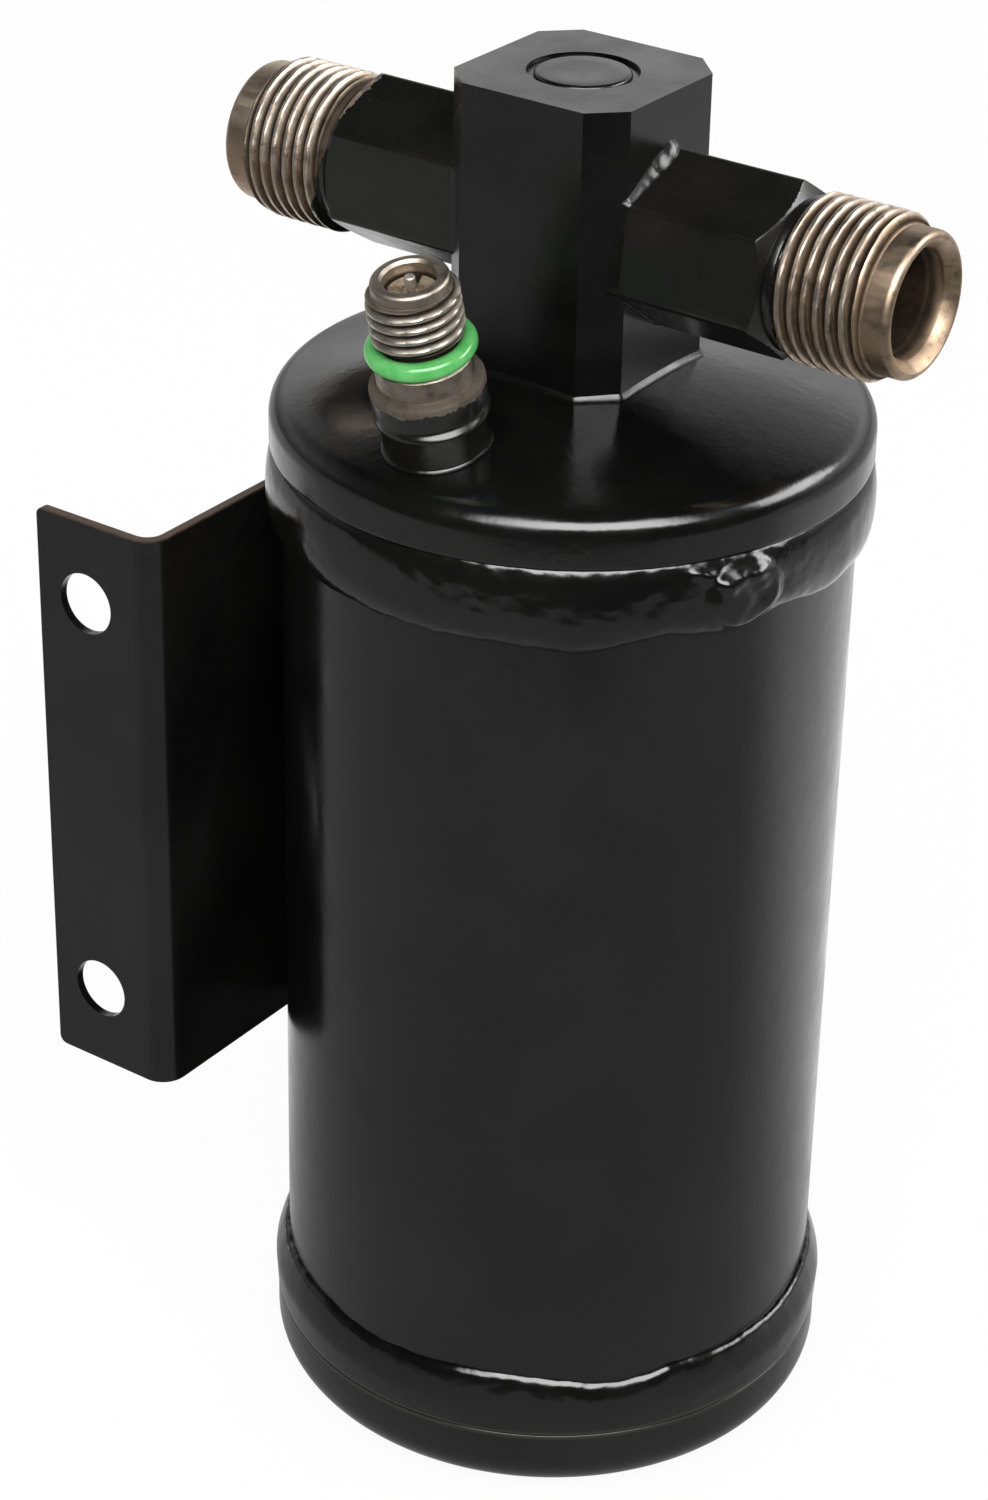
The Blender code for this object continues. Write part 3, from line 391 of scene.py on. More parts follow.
def half_painted(nodes, cover, wear_and_light, dirt_and_shade, tones, rough):
    """Enamel where cover is high, bare plated steel elsewhere, with a ragged edge between."""
    bare = nodes.shader
    finish_bronze(nodes, bare, wear_and_light, dirt_and_shade, tones, rough)
    painted = nodes.add("ShaderNodeBsdfPrincipled")
    finish_enamel(nodes, painted, rough=(0.20, 0.30), tones=(HAZY_ENAMEL, HAZY_ENAMEL_LIGHT))
    ragged = nodes.noise(620, 4, 0.65)
    edge = nodes.plus(cover, nodes.times(nodes.minus(ragged, 0.5), 3.2))
    share = nodes.spread(edge, 0.42, 0.58)
    nodes.show(nodes.blend(share, bare.outputs[0], painted.outputs[0]))
    return nodes.owner


def thread_wear_and_shade(nodes, radius, place, end, root, crest, plain):
    """Paler crests and dark roots of a thread up to its end, and an even paleness beyond it. The
    dark roots are grime and painted shade.
    """
    threaded = nodes.spread(place, end - 0.0001, end + 0.0003, 1.0, 0.0)
    beyond = nodes.minus(1.0, threaded)
    depth = crest - root
    pale_share = nodes.spread(radius, root + 0.40 * depth, root + 0.95 * depth)
    wear_and_light = nodes.plus(nodes.times(pale_share, threaded), nodes.times(beyond, plain))
    # Grime and painted shade in the thread's roots.
    root_grime_and_shade = nodes.spread(radius, root + 0.12 * depth, root + 0.80 * depth, 1.0, 0.0)
    return wear_and_light, nodes.times(root_grime_and_shade, threaded)


def fitting_finish():
    """Black hexagons, bare threads. The paint stops at the hexagon on the outlet's upper side."""
    nodes = Nodes("fitting_paint_and_bare_thread")
    x, y, z = nodes.axes()
    along = nodes.math("ABSOLUTE", x)
    above = nodes.minus(z, FITTING_Z)
    radius = radial_distance(nodes, y, above)
    root = THREAD_RADIUS - THREAD_DEPTH
    wear_and_light, dirt_and_shade = thread_wear_and_shade(nodes, radius, along, THREAD_END, root, THREAD_RADIUS, 0.22)
    inside = nodes.spread(radius, MOUTH_RADIUS - 0.0001, MOUTH_RADIUS + 0.0002, 1.0, 0.0)
    # Painted shade: the bore goes dark from about a millimetre inside its mouth inwards.
    bore_shade = nodes.spread(along, FITTING_END - 0.0026, FITTING_END - 0.0009, 1.0, 0.0)
    dirt_and_shade = nodes.plus(dirt_and_shade, nodes.times(inside, bore_shade), clamp=True)
    outlet = nodes.math("LESS_THAN", x, 0.0)
    # Painted light: the upper side of each fitting is paler, and the outlet's upper side paler
    # still.
    painted_top_light = nodes.spread(above, -0.003, 0.006, 0.55, 1.0)
    wear_and_light = nodes.times(wear_and_light, painted_top_light)
    painted_top_light_outlet = nodes.times(nodes.spread(above, -0.002, 0.005, 0.05, 0.45), outlet)
    wear_and_light = nodes.plus(wear_and_light, painted_top_light_outlet)
    spared = nodes.plus(0.0005, nodes.times(above, 0.24))
    place = nodes.plus(along, nodes.times(spared, outlet))
    cover = nodes.spread(place, THREAD_START - 0.0012, THREAD_START + 0.0018, 1.9, -1.1)
    cover = nodes.minus(cover, nodes.times(inside, 4.0))
    return half_painted(nodes, cover, wear_and_light, dirt_and_shade, (BRONZE, BRONZE_LIGHT), (0.38, 0.52))


def port_finish(to_port):
    """The port's neck and collar are black, and its band, thread and mouth are bare."""
    nodes = Nodes("port_paint_and_bare_thread")
    turn = nodes.add("ShaderNodeMapping", vector_type="POINT")
    nodes.link(nodes.place, turn.inputs["Vector"])
    turn.inputs["Location"].default_value = to_port.to_translation()
    turn.inputs["Rotation"].default_value = to_port.to_euler()
    x, y, z = nodes.axes(turn.outputs[0])
    radius = radial_distance(nodes, x, y)
    band = PORT_STATIONS["band"]
    cover = nodes.spread(z, band - 0.0022, band + 0.0005, 1.9, -0.9)
    root = PORT_THREAD_RADIUS - PORT_THREAD_DEPTH
    wear_and_light, dirt_and_shade = thread_wear_and_shade(nodes, radius, z, PORT_THREAD_END, root, PORT_THREAD_RADIUS, 0.10)
    fresh = nodes.spread(z, PORT_STATIONS["groove"], PORT_STATIONS["thread"])
    wear_and_light = nodes.times(wear_and_light, fresh)
    rim = nodes.spread(z, band + 0.00005, band + 0.0004, 0.72, 0.0)
    dirt_and_shade = nodes.math("MAXIMUM", dirt_and_shade, rim)
    tones = (WARM_STEEL, WARM_STEEL_LIGHT)
    return half_painted(nodes, cover, wear_and_light, dirt_and_shade, tones, (0.38, 0.52))


def rubber(name, colour, light, roughness):
    nodes = Nodes(name)
    tone = nodes.mix(nodes.spread(nodes.noise(500, 3), 0.3, 0.7), colour, light)
    level = nodes.spread(nodes.noise(1200, 2), 0.3, 0.7, *roughness)
    nodes.dress(nodes.shader, tone, level, nodes.bump(nodes.noise(2500, 2), 0.00001, 0.5))
    return nodes.owner


def metal(name, colour, dark, roughness, bare=1.0):
    nodes = Nodes(name)
    stains = nodes.spread(nodes.noise(700, 4, 0.65), 0.40, 0.72)
    nodes.shader.inputs["Metallic"].default_value = bare
    level = nodes.spread(nodes.noise(1500, 3), 0.3, 0.7, *roughness)
    normal = nodes.bump(nodes.noise(1900, 3), 0.00002, 0.6)
    nodes.dress(nodes.shader, nodes.mix(stains, colour, dark), level, normal)
    return nodes.owner


def soft_fill(name, colour, light, scale, depth):
    """Felt or packed beads, which only show when the can is taken apart."""
    nodes = Nodes(name)
    cells = nodes.add("ShaderNodeTexVoronoi")
    nodes.link(nodes.place, cells.inputs["Vector"])
    cells.inputs["Scale"].default_value = scale
    distance = cells.outputs["Distance"]
    tone = nodes.mix(nodes.spread(distance, 0.1, 0.7), light, colour)
    nodes.dress(nodes.shader, tone, 0.85, nodes.bump(nodes.minus(1.0, distance), depth))
    return nodes.owner


def ring_mesh(name, rings, finish, caps=False, loop=False, smooth=40):
    """A skin over rings of points, each ring closed. loop also joins the last to the first."""
    points = np.array(rings, dtype=float)
    count, around = points.shape[0], points.shape[1]
    mesh = bpy.data.meshes.new(name)
    index = np.arange(count * around).reshape(count, around)
    rows = index if not loop else np.vstack([index, index[:1]])
    nearer, further = rows[:-1], rows[1:]
    quads = np.stack(
        [nearer, np.roll(nearer, -1, 1), np.roll(further, -1, 1), further], axis=-1
    ).reshape(-1, 4)
    faces = [tuple(int(v) for v in quad) for quad in quads]
    if caps:
        faces.append(tuple(int(v) for v in index[0][::-1]))
        faces.append(tuple(int(v) for v in index[-1]))
    mesh.from_pydata([tuple(p) for p in points.reshape(-1, 3)], [], faces)
    return shown(name, mesh, finish, smooth)


def shown(name, mesh, finish, smooth=40):
    """An object of the scene from a mesh, with its faces out and its creases kept."""
    shape = bmesh.new()
    shape.from_mesh(mesh)
    bmesh.ops.recalc_face_normals(shape, faces=shape.faces)
    shape.to_mesh(mesh)
    shape.free()
    mesh.shade_smooth()
    mesh.set_sharp_from_angle(angle=math.radians(smooth))
    mesh.materials.append(finish)
    return linked(name, mesh)


def linked(name, data):
    """A new object in the scene."""
    made = bpy.data.objects.new(name, data)
    bpy.context.scene.collection.objects.link(made)
    return made


def fix(piece, node, body="receiver"):
    """The piece rides on a body, and the CAD node it stands for is hidden."""
    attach(piece, body)
    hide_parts(node)


def turned(name, profile, finish, segments=192, caps=False, loop=False, place=None, smooth=40):
    """A turned piece from (radius, z) points, optionally placed by a matrix."""
    angles = np.linspace(0, 2 * math.pi, segments, endpoint=False)
    rings = [
        [(r * math.cos(a), r * math.sin(a), z) for a in angles] for r, z in profile
    ]
    made = ring_mesh(name, rings, finish, caps, loop, smooth)
    if place is not None:
        made.data.transform(place)
    return made


def prism(name, outline, heights, finish, smooth=40):
    """A closed outline of (x, y) points, drawn straight up between two heights."""
    rings = [[(x, y, z) for x, y in outline] for z in heights]
    return ring_mesh(name, rings, finish, caps=True, smooth=smooth)


def arc(centre_r, centre_z, radius, first, last, steps):
    """Points of an arc, with angles in degrees from the +r direction."""
    points = []
    for i in range(steps + 1):
        angle = math.radians(first + (last - first) * i / steps)
        points.append((centre_r + radius * math.cos(angle), centre_z + radius * math.sin(angle)))
    return points


def circle(steps):
    """Angle, cosine and sine at each step around a circle."""
    for i in range(steps):
        angle = 2 * math.pi * i / steps
        yield angle, math.cos(angle), math.sin(angle)


def standing(point, axis):
    """Takes +Z at the origin to an axis at a point."""
    turn = Vector((0, 0, 1)).rotation_difference(axis).to_matrix().to_4x4()
    return Matrix.Translation(point) @ turn


def looking(point, direction):
    """Stands a camera or a lamp at a point, facing a direction."""
    return Matrix.Translation(point) @ direction.to_track_quat("-Z", "Y").to_matrix().to_4x4()


def bell(value, centre, width):
    return math.exp(-(((value - centre) / width) ** 2))


def ease(value, low, high):
    u = min(1.0, max(0.0, (value - low) / (high - low)))
    return u * u * (3 - 2 * u)


def wrapped(degrees):
    """An azimuth in degrees, from -180 to 180."""
    return (degrees + 180) % 360 - 180


def crown_z(radius):
    return CROWN_TOP - CROWN_RADIUS + math.sqrt(CROWN_RADIUS**2 - radius**2)


def knuckle_centre_z():
    reach = HEAD_RADIUS - CROWN_KNUCKLE
    return CROWN_TOP - CROWN_RADIUS + math.sqrt((CROWN_RADIUS - CROWN_KNUCKLE) ** 2 - reach**2)


def make_can(finish, base_finish):
    tube = [(SHELL_RADIUS, z) for z in np.linspace(SHELL_LOW.z, SHELL_HIGH.z, 24)]
    tube += [(SHELL_RADIUS - TUBE_WALL, z) for z in (SHELL_HIGH.z, SHELL_LOW.z)]
    fix(turned("can_tube", tube, finish, 256, loop=True), "shell_tube")

    reach = HEAD_RADIUS - CROWN_KNUCKLE
    side = knuckle_centre_z()
    tilt = math.degrees(math.asin(reach / (CROWN_RADIUS - CROWN_KNUCKLE)))
    start = math.degrees(math.asin(CROWN_START / CROWN_RADIUS))
    centre = CROWN_TOP - CROWN_RADIUS
    skirt = HEAD_LOW.z + SKIRT_RISE
    profile = arc(0, centre, CROWN_RADIUS, 90 - start, 90 - tilt, 20)
    profile += arc(reach, side, CROWN_KNUCKLE, 90 - tilt, 0, 14)[1:]
    profile += arc(HEAD_RADIUS - CAP_LIP, skirt + CAP_LIP, CAP_LIP, 0, -90, 10)
    profile += [(SHELL_RADIUS + FIT_GAP, skirt)]
    profile += arc(reach, side, CROWN_KNUCKLE - HEAD_WALL, 0, 90 - tilt, 6)
    profile += arc(0, centre, CROWN_RADIUS - HEAD_WALL, 90 - tilt, 90 - start, 6)[1:]
    fix(turned("domed_cap", profile, finish, 256, loop=True), "top_head")

    reach = HEAD_RADIUS - BASE_KNUCKLE
    edge = BASE_HIGH.z
    profile = arc(reach, BASE_KNUCKLE, BASE_KNUCKLE, -90, 0, 16)
    profile += arc(HEAD_RADIUS - BASE_LIP, edge - BASE_LIP, BASE_LIP, 0, 90, 5)
    profile += [(SHELL_RADIUS + FIT_GAP, edge)]
    profile += arc(reach, BASE_KNUCKLE, BASE_KNUCKLE - HEAD_WALL, 0, -90, 8)
    base = turned("pressed_base", profile, base_finish, 256, caps=True)
    fix(base, "bottom_head")


# Swells of the beads' free edges: azimuth and width in degrees, height in metres
TOP_EDGE_SWELLS = ((-54, 9, -0.0008), (-38, 7, 0.0008), (-11, 8, 0.0011), (-88, 14, -0.0003))
BASE_EDGE_SWELLS = ((-72, 10, 0.0004), (-42, 9, -0.0011), (22, 16, 0.0007), (-120, 18, 0.0006))
BLOB_AZIMUTH = -22.5
BLOB_Z = 0.1166
BLOB_RADIUS = 0.0043
BLOB_HEIGHT = 0.00075
# Drips on the blob: azimuth and height, half width and half height, and how far each stands out
BLOB_DRIPS = (
    (-32.5, 0.1198, 0.0009, 0.0005, 0.00030), (-30.2, 0.1193, 0.0008, 0.0006, 0.00038),
    (-28.0, 0.1186, 0.0008, 0.0006, 0.00042), (-26.6, 0.1178, 0.0007, 0.0007, 0.00040),
    (-24.6, 0.1186, 0.0008, 0.0006, 0.00034), (-20.8, 0.1187, 0.0011, 0.0008, 0.00050),
    (-19.6, 0.1174, 0.0008, 0.0006, 0.00028),
)
# Sections of the beads
TOP_BEAD_WAIST = 0.1156
TOP_BEAD_RISE = 0.0057
TOP_BEAD_SWELL = 0.0018
BASE_BEAD_SHOULDER = 0.0132
BASE_BEAD_SWELL = 0.0017
BEAD_LIMIT = TOP_BEAD_HIGH.y


def grain(x, y, z, scale, octaves=3):
    """Fractal noise of about -1 to 1, with features of one over scale metres."""
    return noise.fractal(Vector((x, y, z)) * scale, 1.0, 2.0, octaves)


def blob_height(azimuth, z):
    """The lump where the weld ends: a drop with a pointed foot, a raised rim and small drips."""
    x = math.radians(wrapped(azimuth - BLOB_AZIMUTH)) * HEAD_RADIUS
    y = z - BLOB_Z
    distance = math.hypot(x, y)
    if distance > 2.2 * BLOB_RADIUS:
        return 0.0
    direction = math.atan2(y, x)
    foot = bell(wrapped(math.degrees(direction) + 98), 0, 30)
    reach = BLOB_RADIUS * (1 + 0.16 * foot + 0.10 * math.cos(2 * direction))
    inside = reach - distance
    total = BLOB_HEIGHT * ease(inside, 0.0, 0.0012)
    total += 0.00016 * bell(inside, 0.00035, 0.00035)
    total -= 0.00035 * bell(x, 0.0014, 0.0014) * bell(y, -0.0002, 0.0016)
    for at, height, wide, tall, lift in BLOB_DRIPS:
        across = math.radians(wrapped(azimuth - at)) * HEAD_RADIUS
        total += lift * bell(across, 0.0, wide) * bell(z, height, tall)
    return total


def dome_over(share, power):
    """Half of a rounded hump: 1 in the middle and 0 at a share of 1."""
    return max(0.0, 1 - min(1.0, abs(share)) ** power) ** (1 / power)


def bead_point(radius, angle, z):
    radius = min(radius, BEAD_LIMIT / max(0.5, abs(math.sin(angle))))
    return (radius * math.cos(angle), radius * math.sin(angle), z)


def bead_ring(points, angle, low, high):
    """Closes a bead's cross-section on the can's side of it."""
    inner = SHELL_RADIUS - 0.0004
    ring = [bead_point(r, angle, z) for r, z in points]
    return ring + [bead_point(inner, angle, high), bead_point(inner, angle, low)]


def top_bead_ring(azimuth, steps):
    """One cross-section of the upper bead, from its free lower edge up to the cap."""
    a = math.radians(azimuth)
    c, s = math.cos(a), math.sin(a)
    swell = sum(h * bell(wrapped(azimuth - at), 0, w) for at, w, h in TOP_EDGE_SWELLS)
    rough = 0.25 + 0.75 * ease(azimuth, -98, -74) * ease(-azimuth, -2, 12)
    low = TOP_BEAD_LOW.z + 0.0001 + swell + 0.0002 * grain(c, s, 0.2, 9, 3)
    high = TOP_BEAD_WAIST + 0.97 * TOP_BEAD_RISE
    crest = TOP_BEAD_SWELL + 0.00005 * grain(c, s, 2.6, 5, 2)
    ripple = 0.00007 * rough * grain(c, s, 4.0, 26, 2)
    points = []
    for i in range(steps + 1):
        u = i / steps
        z = low + (high - low) * (1 - math.cos(math.pi * u)) / 2
        if z < TOP_BEAD_WAIST:
            bulge = dome_over((TOP_BEAD_WAIST - z) / (TOP_BEAD_WAIST - low), 2.0)
        else:
            bulge = dome_over((z - TOP_BEAD_WAIST - ripple) / TOP_BEAD_RISE, 2.5)
        r = SHELL_RADIUS + crest * bulge
        hold = ease(u, 0.0, 0.16) * ease(1 - u, 0.0, 0.10)
        r += hold * 0.00006 * grain(r * c, r * s, z, 150, 2)
        r += hold * rough * 0.00009 * grain(r * c, r * s, 1.4 * z, 380, 2)
        r += blob_height(azimuth, z) * ease(u, 0.0, 0.06)
        points.append((r, z))
    return bead_ring(points, a, low, high)


def base_bead_ring(azimuth, steps):
    """One cross-section of the lower bead, from the pressed base up to its free edge."""
    a = math.radians(azimuth)
    c, s = math.cos(a), math.sin(a)
    swell = sum(h * bell(wrapped(azimuth - at), 0, w) for at, w, h in BASE_EDGE_SWELLS)
    rough = 0.35 + 0.65 * ease(azimuth, -90, -76) * ease(-azimuth, -6, 12)
    low = BASE_HIGH.z + 0.00004
    high = BASE_BEAD_HIGH.z + 0.0007 + swell + 0.00018 * grain(c, s, 6.2, 8, 3)
    shoulder = BASE_BEAD_SHOULDER + 0.7 * swell
    front = bell(azimuth, -50, 32)
    high += 0.0005 * front
    side_start, front_start = shoulder - 0.0012, shoulder - 0.0030
    points = [(HEAD_RADIUS - 0.0003, low)]
    for i in range(steps + 1):
        u = i / steps
        z = low + 0.0001 + (high - low - 0.0001) * math.sin(math.pi / 2 * u)
        down = max(0.0, (shoulder - z) / (shoulder - low))
        side = 0.72 * (max(0.0, z - side_start) / (high - side_start)) ** 1.5
        sloped = 0.80 * (max(0.0, z - front_start) / (high - front_start)) ** 2.2
        toe = 0.0006 + 0.0003 * front
        toe_top = dome_over(max(0.0, z - high + toe) / toe, 2.2)
        r = SHELL_RADIUS + BASE_BEAD_SWELL * (1 - side - (sloped - side) * front) * toe_top
        r -= 0.00026 * down**1.5 + 0.00005 * bell(z - low, 0.0001, 0.00016)
        hold = ease(u, 0.0, 0.15) * ease(1 - u, 0.0, 0.15)
        r += hold * 0.00005 * grain(r * c, r * s, z, 150, 2)
        r += hold * rough * 0.00005 * grain(r * c, r * s, 1.2 * z, 360, 2)
        points.append((r, z))
    return bead_ring(points, a, low, high)


def make_can_beads(finish):
    around = np.linspace(-180, 180, 900, endpoint=False)
    for name, ring, node in (
        ("cap_weld_bead", top_bead_ring, "top_weld_bead"),
        ("base_weld_bead", base_bead_ring, "bottom_weld_bead"),
    ):
        rings = [ring(float(azimuth), 44) for azimuth in around]
        bead = ring_mesh(name, rings, finish, loop=True, smooth=70)
        fix(bead, node)


def rounded_sides(angle, planes, sharpness):
    """Radius of a polygon with slightly rounded corners. planes are (direction, distance)."""
    facing = [math.cos(angle - direction) / distance for direction, distance in planes]
    most = max(facing)
    total = sum((max(0.0, value) / most) ** sharpness for value in facing)
    return total ** (-1 / sharpness) / most


def block_planes():
    corner = (2 * BLOCK_HALF - BLOCK_CHAMFER) / math.sqrt(2)
    sides = [(math.radians(90 * i), BLOCK_HALF) for i in range(4)]
    return sides + [(math.radians(45 + 90 * i), corner) for i in range(4)]


def hex_planes(turn):
    first = math.radians(120) + turn
    return [(first + math.radians(60 * i), HEX_FLATS / 2) for i in range(6)]


def cut_with(target, tools, smooth):
    """Cuts the target with each tool at once, keeps its creases and removes the tools."""
    for tool in tools:
        step = target.modifiers.new(tool.name, "BOOLEAN")
        step.operation = "DIFFERENCE"
        step.solver = "EXACT"
        step.object = tool
    graph = bpy.context.evaluated_depsgraph_get()
    made = bpy.data.meshes.new_from_object(target.evaluated_get(graph))
    made.shade_smooth()
    made.set_sharp_from_angle(angle=math.radians(smooth))
    target.modifiers.clear()
    target.data = made
    for tool in tools:
        bpy.data.objects.remove(tool)


def rod(name, radius, start, end, finish, segments=64):
    """A closed cylinder between two points."""
    start, end = Vector(start), Vector(end)
    axis = end - start
    profile = [(radius, 0.0), (radius, axis.length)]
    return turned(name, profile, finish, segments, caps=True, place=standing(start, axis))


def bevelled(piece, width, segments=3, angle=30):
    step = piece.modifiers.new("edges", "BEVEL")
    step.width = width
    step.segments = segments
    step.limit_method = "ANGLE"
    step.angle_limit = math.radians(angle)
    step.harden_normals = False
    return piece


def make_block(finish):
    """The header block, its plug and the fillet around its foot."""
    half, side = BLOCK_HALF, BLOCK_HALF - BLOCK_CHAMFER
    outline = []
    for i in range(4):
        turn = Matrix.Rotation(math.radians(90 * i), 2)
        outline += [turn @ Vector((half, -side)), turn @ Vector((half, side))]
    foot = crown_z(half) - 0.0008
    block = prism("header_body", outline, (foot, BLOCK_TOP), finish, 20)
    past = 0.002
    seat, top = (0, 0, BLOCK_TOP - PLUG_RECESS_DEPTH), (0, 0, BLOCK_TOP + past)
    left, right = (-half - past, 0, FITTING_Z), (half + past, 0, FITTING_Z)
    cut_with(block, [
        rod("plug_seat", PLUG_RECESS_RADIUS, seat, top, finish, 96),
        rod("riser", RISER_RADIUS, (0, 0, foot - past), (0, 0, BLOCK_TOP - 0.004), finish),
        rod("cross_bore", PASSAGE_RADIUS, left, right, finish),
    ], 40)
    bevelled(block, BLOCK_EDGE, 4)
    fix(block, "header_block")

    edge = 0.00045
    low, top = BLOCK_TOP - PLUG_RECESS_DEPTH - 0.0002, BLOCK_TOP - 0.00005
    profile = [(PLUG_RECESS_RADIUS - 0.00005, low), (PLUG_RECESS_RADIUS - 0.0001, low + 0.0003)]
    profile += [(PLUG_RADIUS + 0.0002, low + 0.00035)]
    profile += arc(PLUG_RADIUS - edge, top - edge, edge, 0, 90, 6)
    profile += [(0.003, top - 0.00002), (0.0010, top - 0.00008)]
    plug = turned("riser_plug", profile, finish, 128, caps=True)
    fix(plug, "passage_plug")

    planes = block_planes()
    rings = []
    for a, c, s in circle(480):
        wall = rounded_sides(a, planes, 160)
        leg = 0.0007 * (1 + 0.14 * grain(c, s, 0.7, 3, 2))
        ring = []
        for k in range(11):
            u = k / 10
            r = wall - 0.0001 + (leg + 0.0001) * u
            ring.append((r * c, r * s, crown_z(r) + leg * (1 - math.sin(u * math.pi / 2)) ** 0.9))
        inner = wall - 0.0008
        ring.append((inner * c, inner * s, crown_z(wall) - 0.0005))
        rings.append(ring)
    fillet = ring_mesh("header_foot_weld", rings, finish, loop=True, smooth=60)
    fix(fillet, "block_base_weld")


def helix_radius(position, angle, pitch, hand, root, crest):
    """Radius of a thread's surface: steep flanks, a flat abraded crest and a narrow root."""
    phase = (position / pitch - hand * angle / (2 * math.pi)) % 1.0
    tent = 1 - abs(2 * phase - 1)
    height = min(1.0, max(0.0, 1.62 * tent - 0.20))
    height = height * height * (3 - 2 * height) * 0.4 + height * 0.6
    return root + (crest - root) * height


def fitting_rings(side, turn, segments):
    """Cross-sections of a pipe fitting, from the block outwards and back through its bore."""
    planes = hex_planes(turn)
    angles = [a for a, _, _ in circle(segments)]
    hexagon = [rounded_sides(a, planes, HEX_SHARPNESS) for a in angles]
    corner = HEX_FLATS / math.sqrt(3)

    def ring(x, radii):
        return [
            (side * x, r * math.cos(a), FITTING_Z + r * math.sin(a))
            for r, a in zip(radii, angles)
        ]

    def circles(*profile):
        return [ring(x, [r] * segments) for x, r in profile]

    def taper(x, start, length, high, low):
        return high + (low - high) * (x - start) / length

    rings = [ring(HEX_START - 0.0022, hexagon), ring(HEX_START + 0.002, hexagon)]
    length = COLLAR_START - HEX_END
    for x in np.linspace(HEX_END - 0.0002, COLLAR_START, 16):
        limit = taper(x, HEX_END, length, corner - 0.0001, HEX_FLATS / 2 - 0.0004)
        rings.append(ring(x, [min(r, limit) for r in hexagon]))
    rings += circles((COLLAR_START + 0.0002, COLLAR_RADIUS), (THREAD_START - 0.0004, COLLAR_RADIUS))
    root = THREAD_RADIUS - THREAD_DEPTH
    for x in np.linspace(THREAD_START - 0.0002, THREAD_END, 110):
        first = taper(x, THREAD_START - 0.0002, 0.0008, COLLAR_RADIUS - 0.0001, THREAD_RADIUS)
        last = taper(x, THREAD_END - 0.0009, 0.0009, THREAD_RADIUS, root + 0.0001)
        limit = min(THREAD_RADIUS, first, last)
        radii = []
        for a in angles:
            r = helix_radius(x, a, THREAD_PITCH, side, root, THREAD_RADIUS)
            nick = 0.00004 * grain(x, r * math.cos(a), r * math.sin(a), 500, 2)
            floor = COLLAR_RADIUS - 0.0001 if first < COLLAR_RADIUS else root
            radii.append(min(max(r, floor), limit) + nick)
        rings.append(ring(x, radii))
    soft = NOSE_ROUNDING
    nose = [(FITTING_END - soft + x, r) for r, x in arc(NOSE_RADIUS - soft, 0, soft, 0, 90, 8)]
    cone = MOUTH_RADIUS - BORE_RADIUS
    step, bottom = FITTING_END - BORE_STEP, FITTING_END - BORE_DEPTH
    return rings + circles(
        (THREAD_END + 0.0002, NOSE_RADIUS), *nose, (FITTING_END - 0.00005, MOUTH_RADIUS),
        (FITTING_END - 0.00008 - cone, BORE_RADIUS + 0.00005),
        (FITTING_END - 0.00020 - cone, BORE_RADIUS), (step, BORE_RADIUS),
        (step - 0.00012, BORE_INNER_RADIUS + 0.0001), (step - 0.00022, BORE_INNER_RADIUS),
        (bottom, BORE_INNER_RADIUS), (bottom - 0.0004, BORE_INNER_RADIUS - 0.0003),
        (bottom - 0.0008, PASSAGE_RADIUS + 0.0004), (bottom - 0.0014, PASSAGE_RADIUS),
        (HEX_START - 0.0022, PASSAGE_RADIUS),
    )


def fitting_weld_rings(side, turn, foot_leg, top_leg, seed):
    """A smooth, lumpy fillet at the hexagon's foot, widest on the flat that faces up in front."""
    planes = hex_planes(turn)
    flat = BLOCK_HALF - BLOCK_CHAMFER
    steepness = 1.28
    rings = []
    for a, c, s in circle(480):
        degrees = math.degrees(a)
        wall = rounded_sides(a, planes, HEX_SHARPNESS)
        toe = rounded_sides(a, planes, 26)
        share = ease(degrees, 74, 92) * ease(-degrees, -158, -136)
        share *= 1 - 0.62 * ease(degrees, 96, 146)
        size = (foot_leg + top_leg * share) * (1 + 0.12 * grain(c, s, seed, 5, 2))
        foot = BLOCK_HALF - max(0.0, abs(wall * c) - flat)
        ring = []
        for k in range(17):
            u = k / 16
            r = wall - 0.0001 + (toe + size - wall + 0.0001) * u
            y = r * c
            face = BLOCK_HALF - max(0.0, abs(y) - flat) - 0.0001
            rise = (BLOCK_HALF + size / steepness - foot) * (1 - u**1.45)
            lump = 0.05 * size * math.sin(u * math.pi) * grain(c, s, seed + 0.25 * u, 7, 2)
            ring.append((side * (face + rise + lump), y, FITTING_Z + r * s))
        inner = wall - 0.001
        ring.append((side * (BLOCK_HALF - 0.003), inner * c, FITTING_Z + inner * s))
        rings.append(ring)
    return rings


def make_fittings(finish, weld_finish):
    fittings = (
        ("inlet", 1, INLET_TURN, 0.00035, 0.0011, 1.3),
        ("outlet", -1, OUTLET_TURN, 0.00012, 0.0004, 5.1),
    )
    for name, side, turn, foot_leg, top_leg, seed in fittings:
        rings = fitting_rings(side, turn, 288)
        union = ring_mesh(name + "_union", rings, finish, loop=True, smooth=32)
        fix(union, name + "_fitting")
        rings = fitting_weld_rings(side, turn, foot_leg, top_leg, seed)
        weld = ring_mesh(name + "_union_weld", rings, weld_finish, loop=True, smooth=60)
        fix(weld, name + "_fitting_weld")


def port_matrix():
    """Takes the port's own axes, with Z outwards from the dome, to the frame's."""
    low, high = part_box("port_oring")
    return standing((low + high) / 2 - PORT_AXIS * ORING_PLACE, PORT_AXIS)


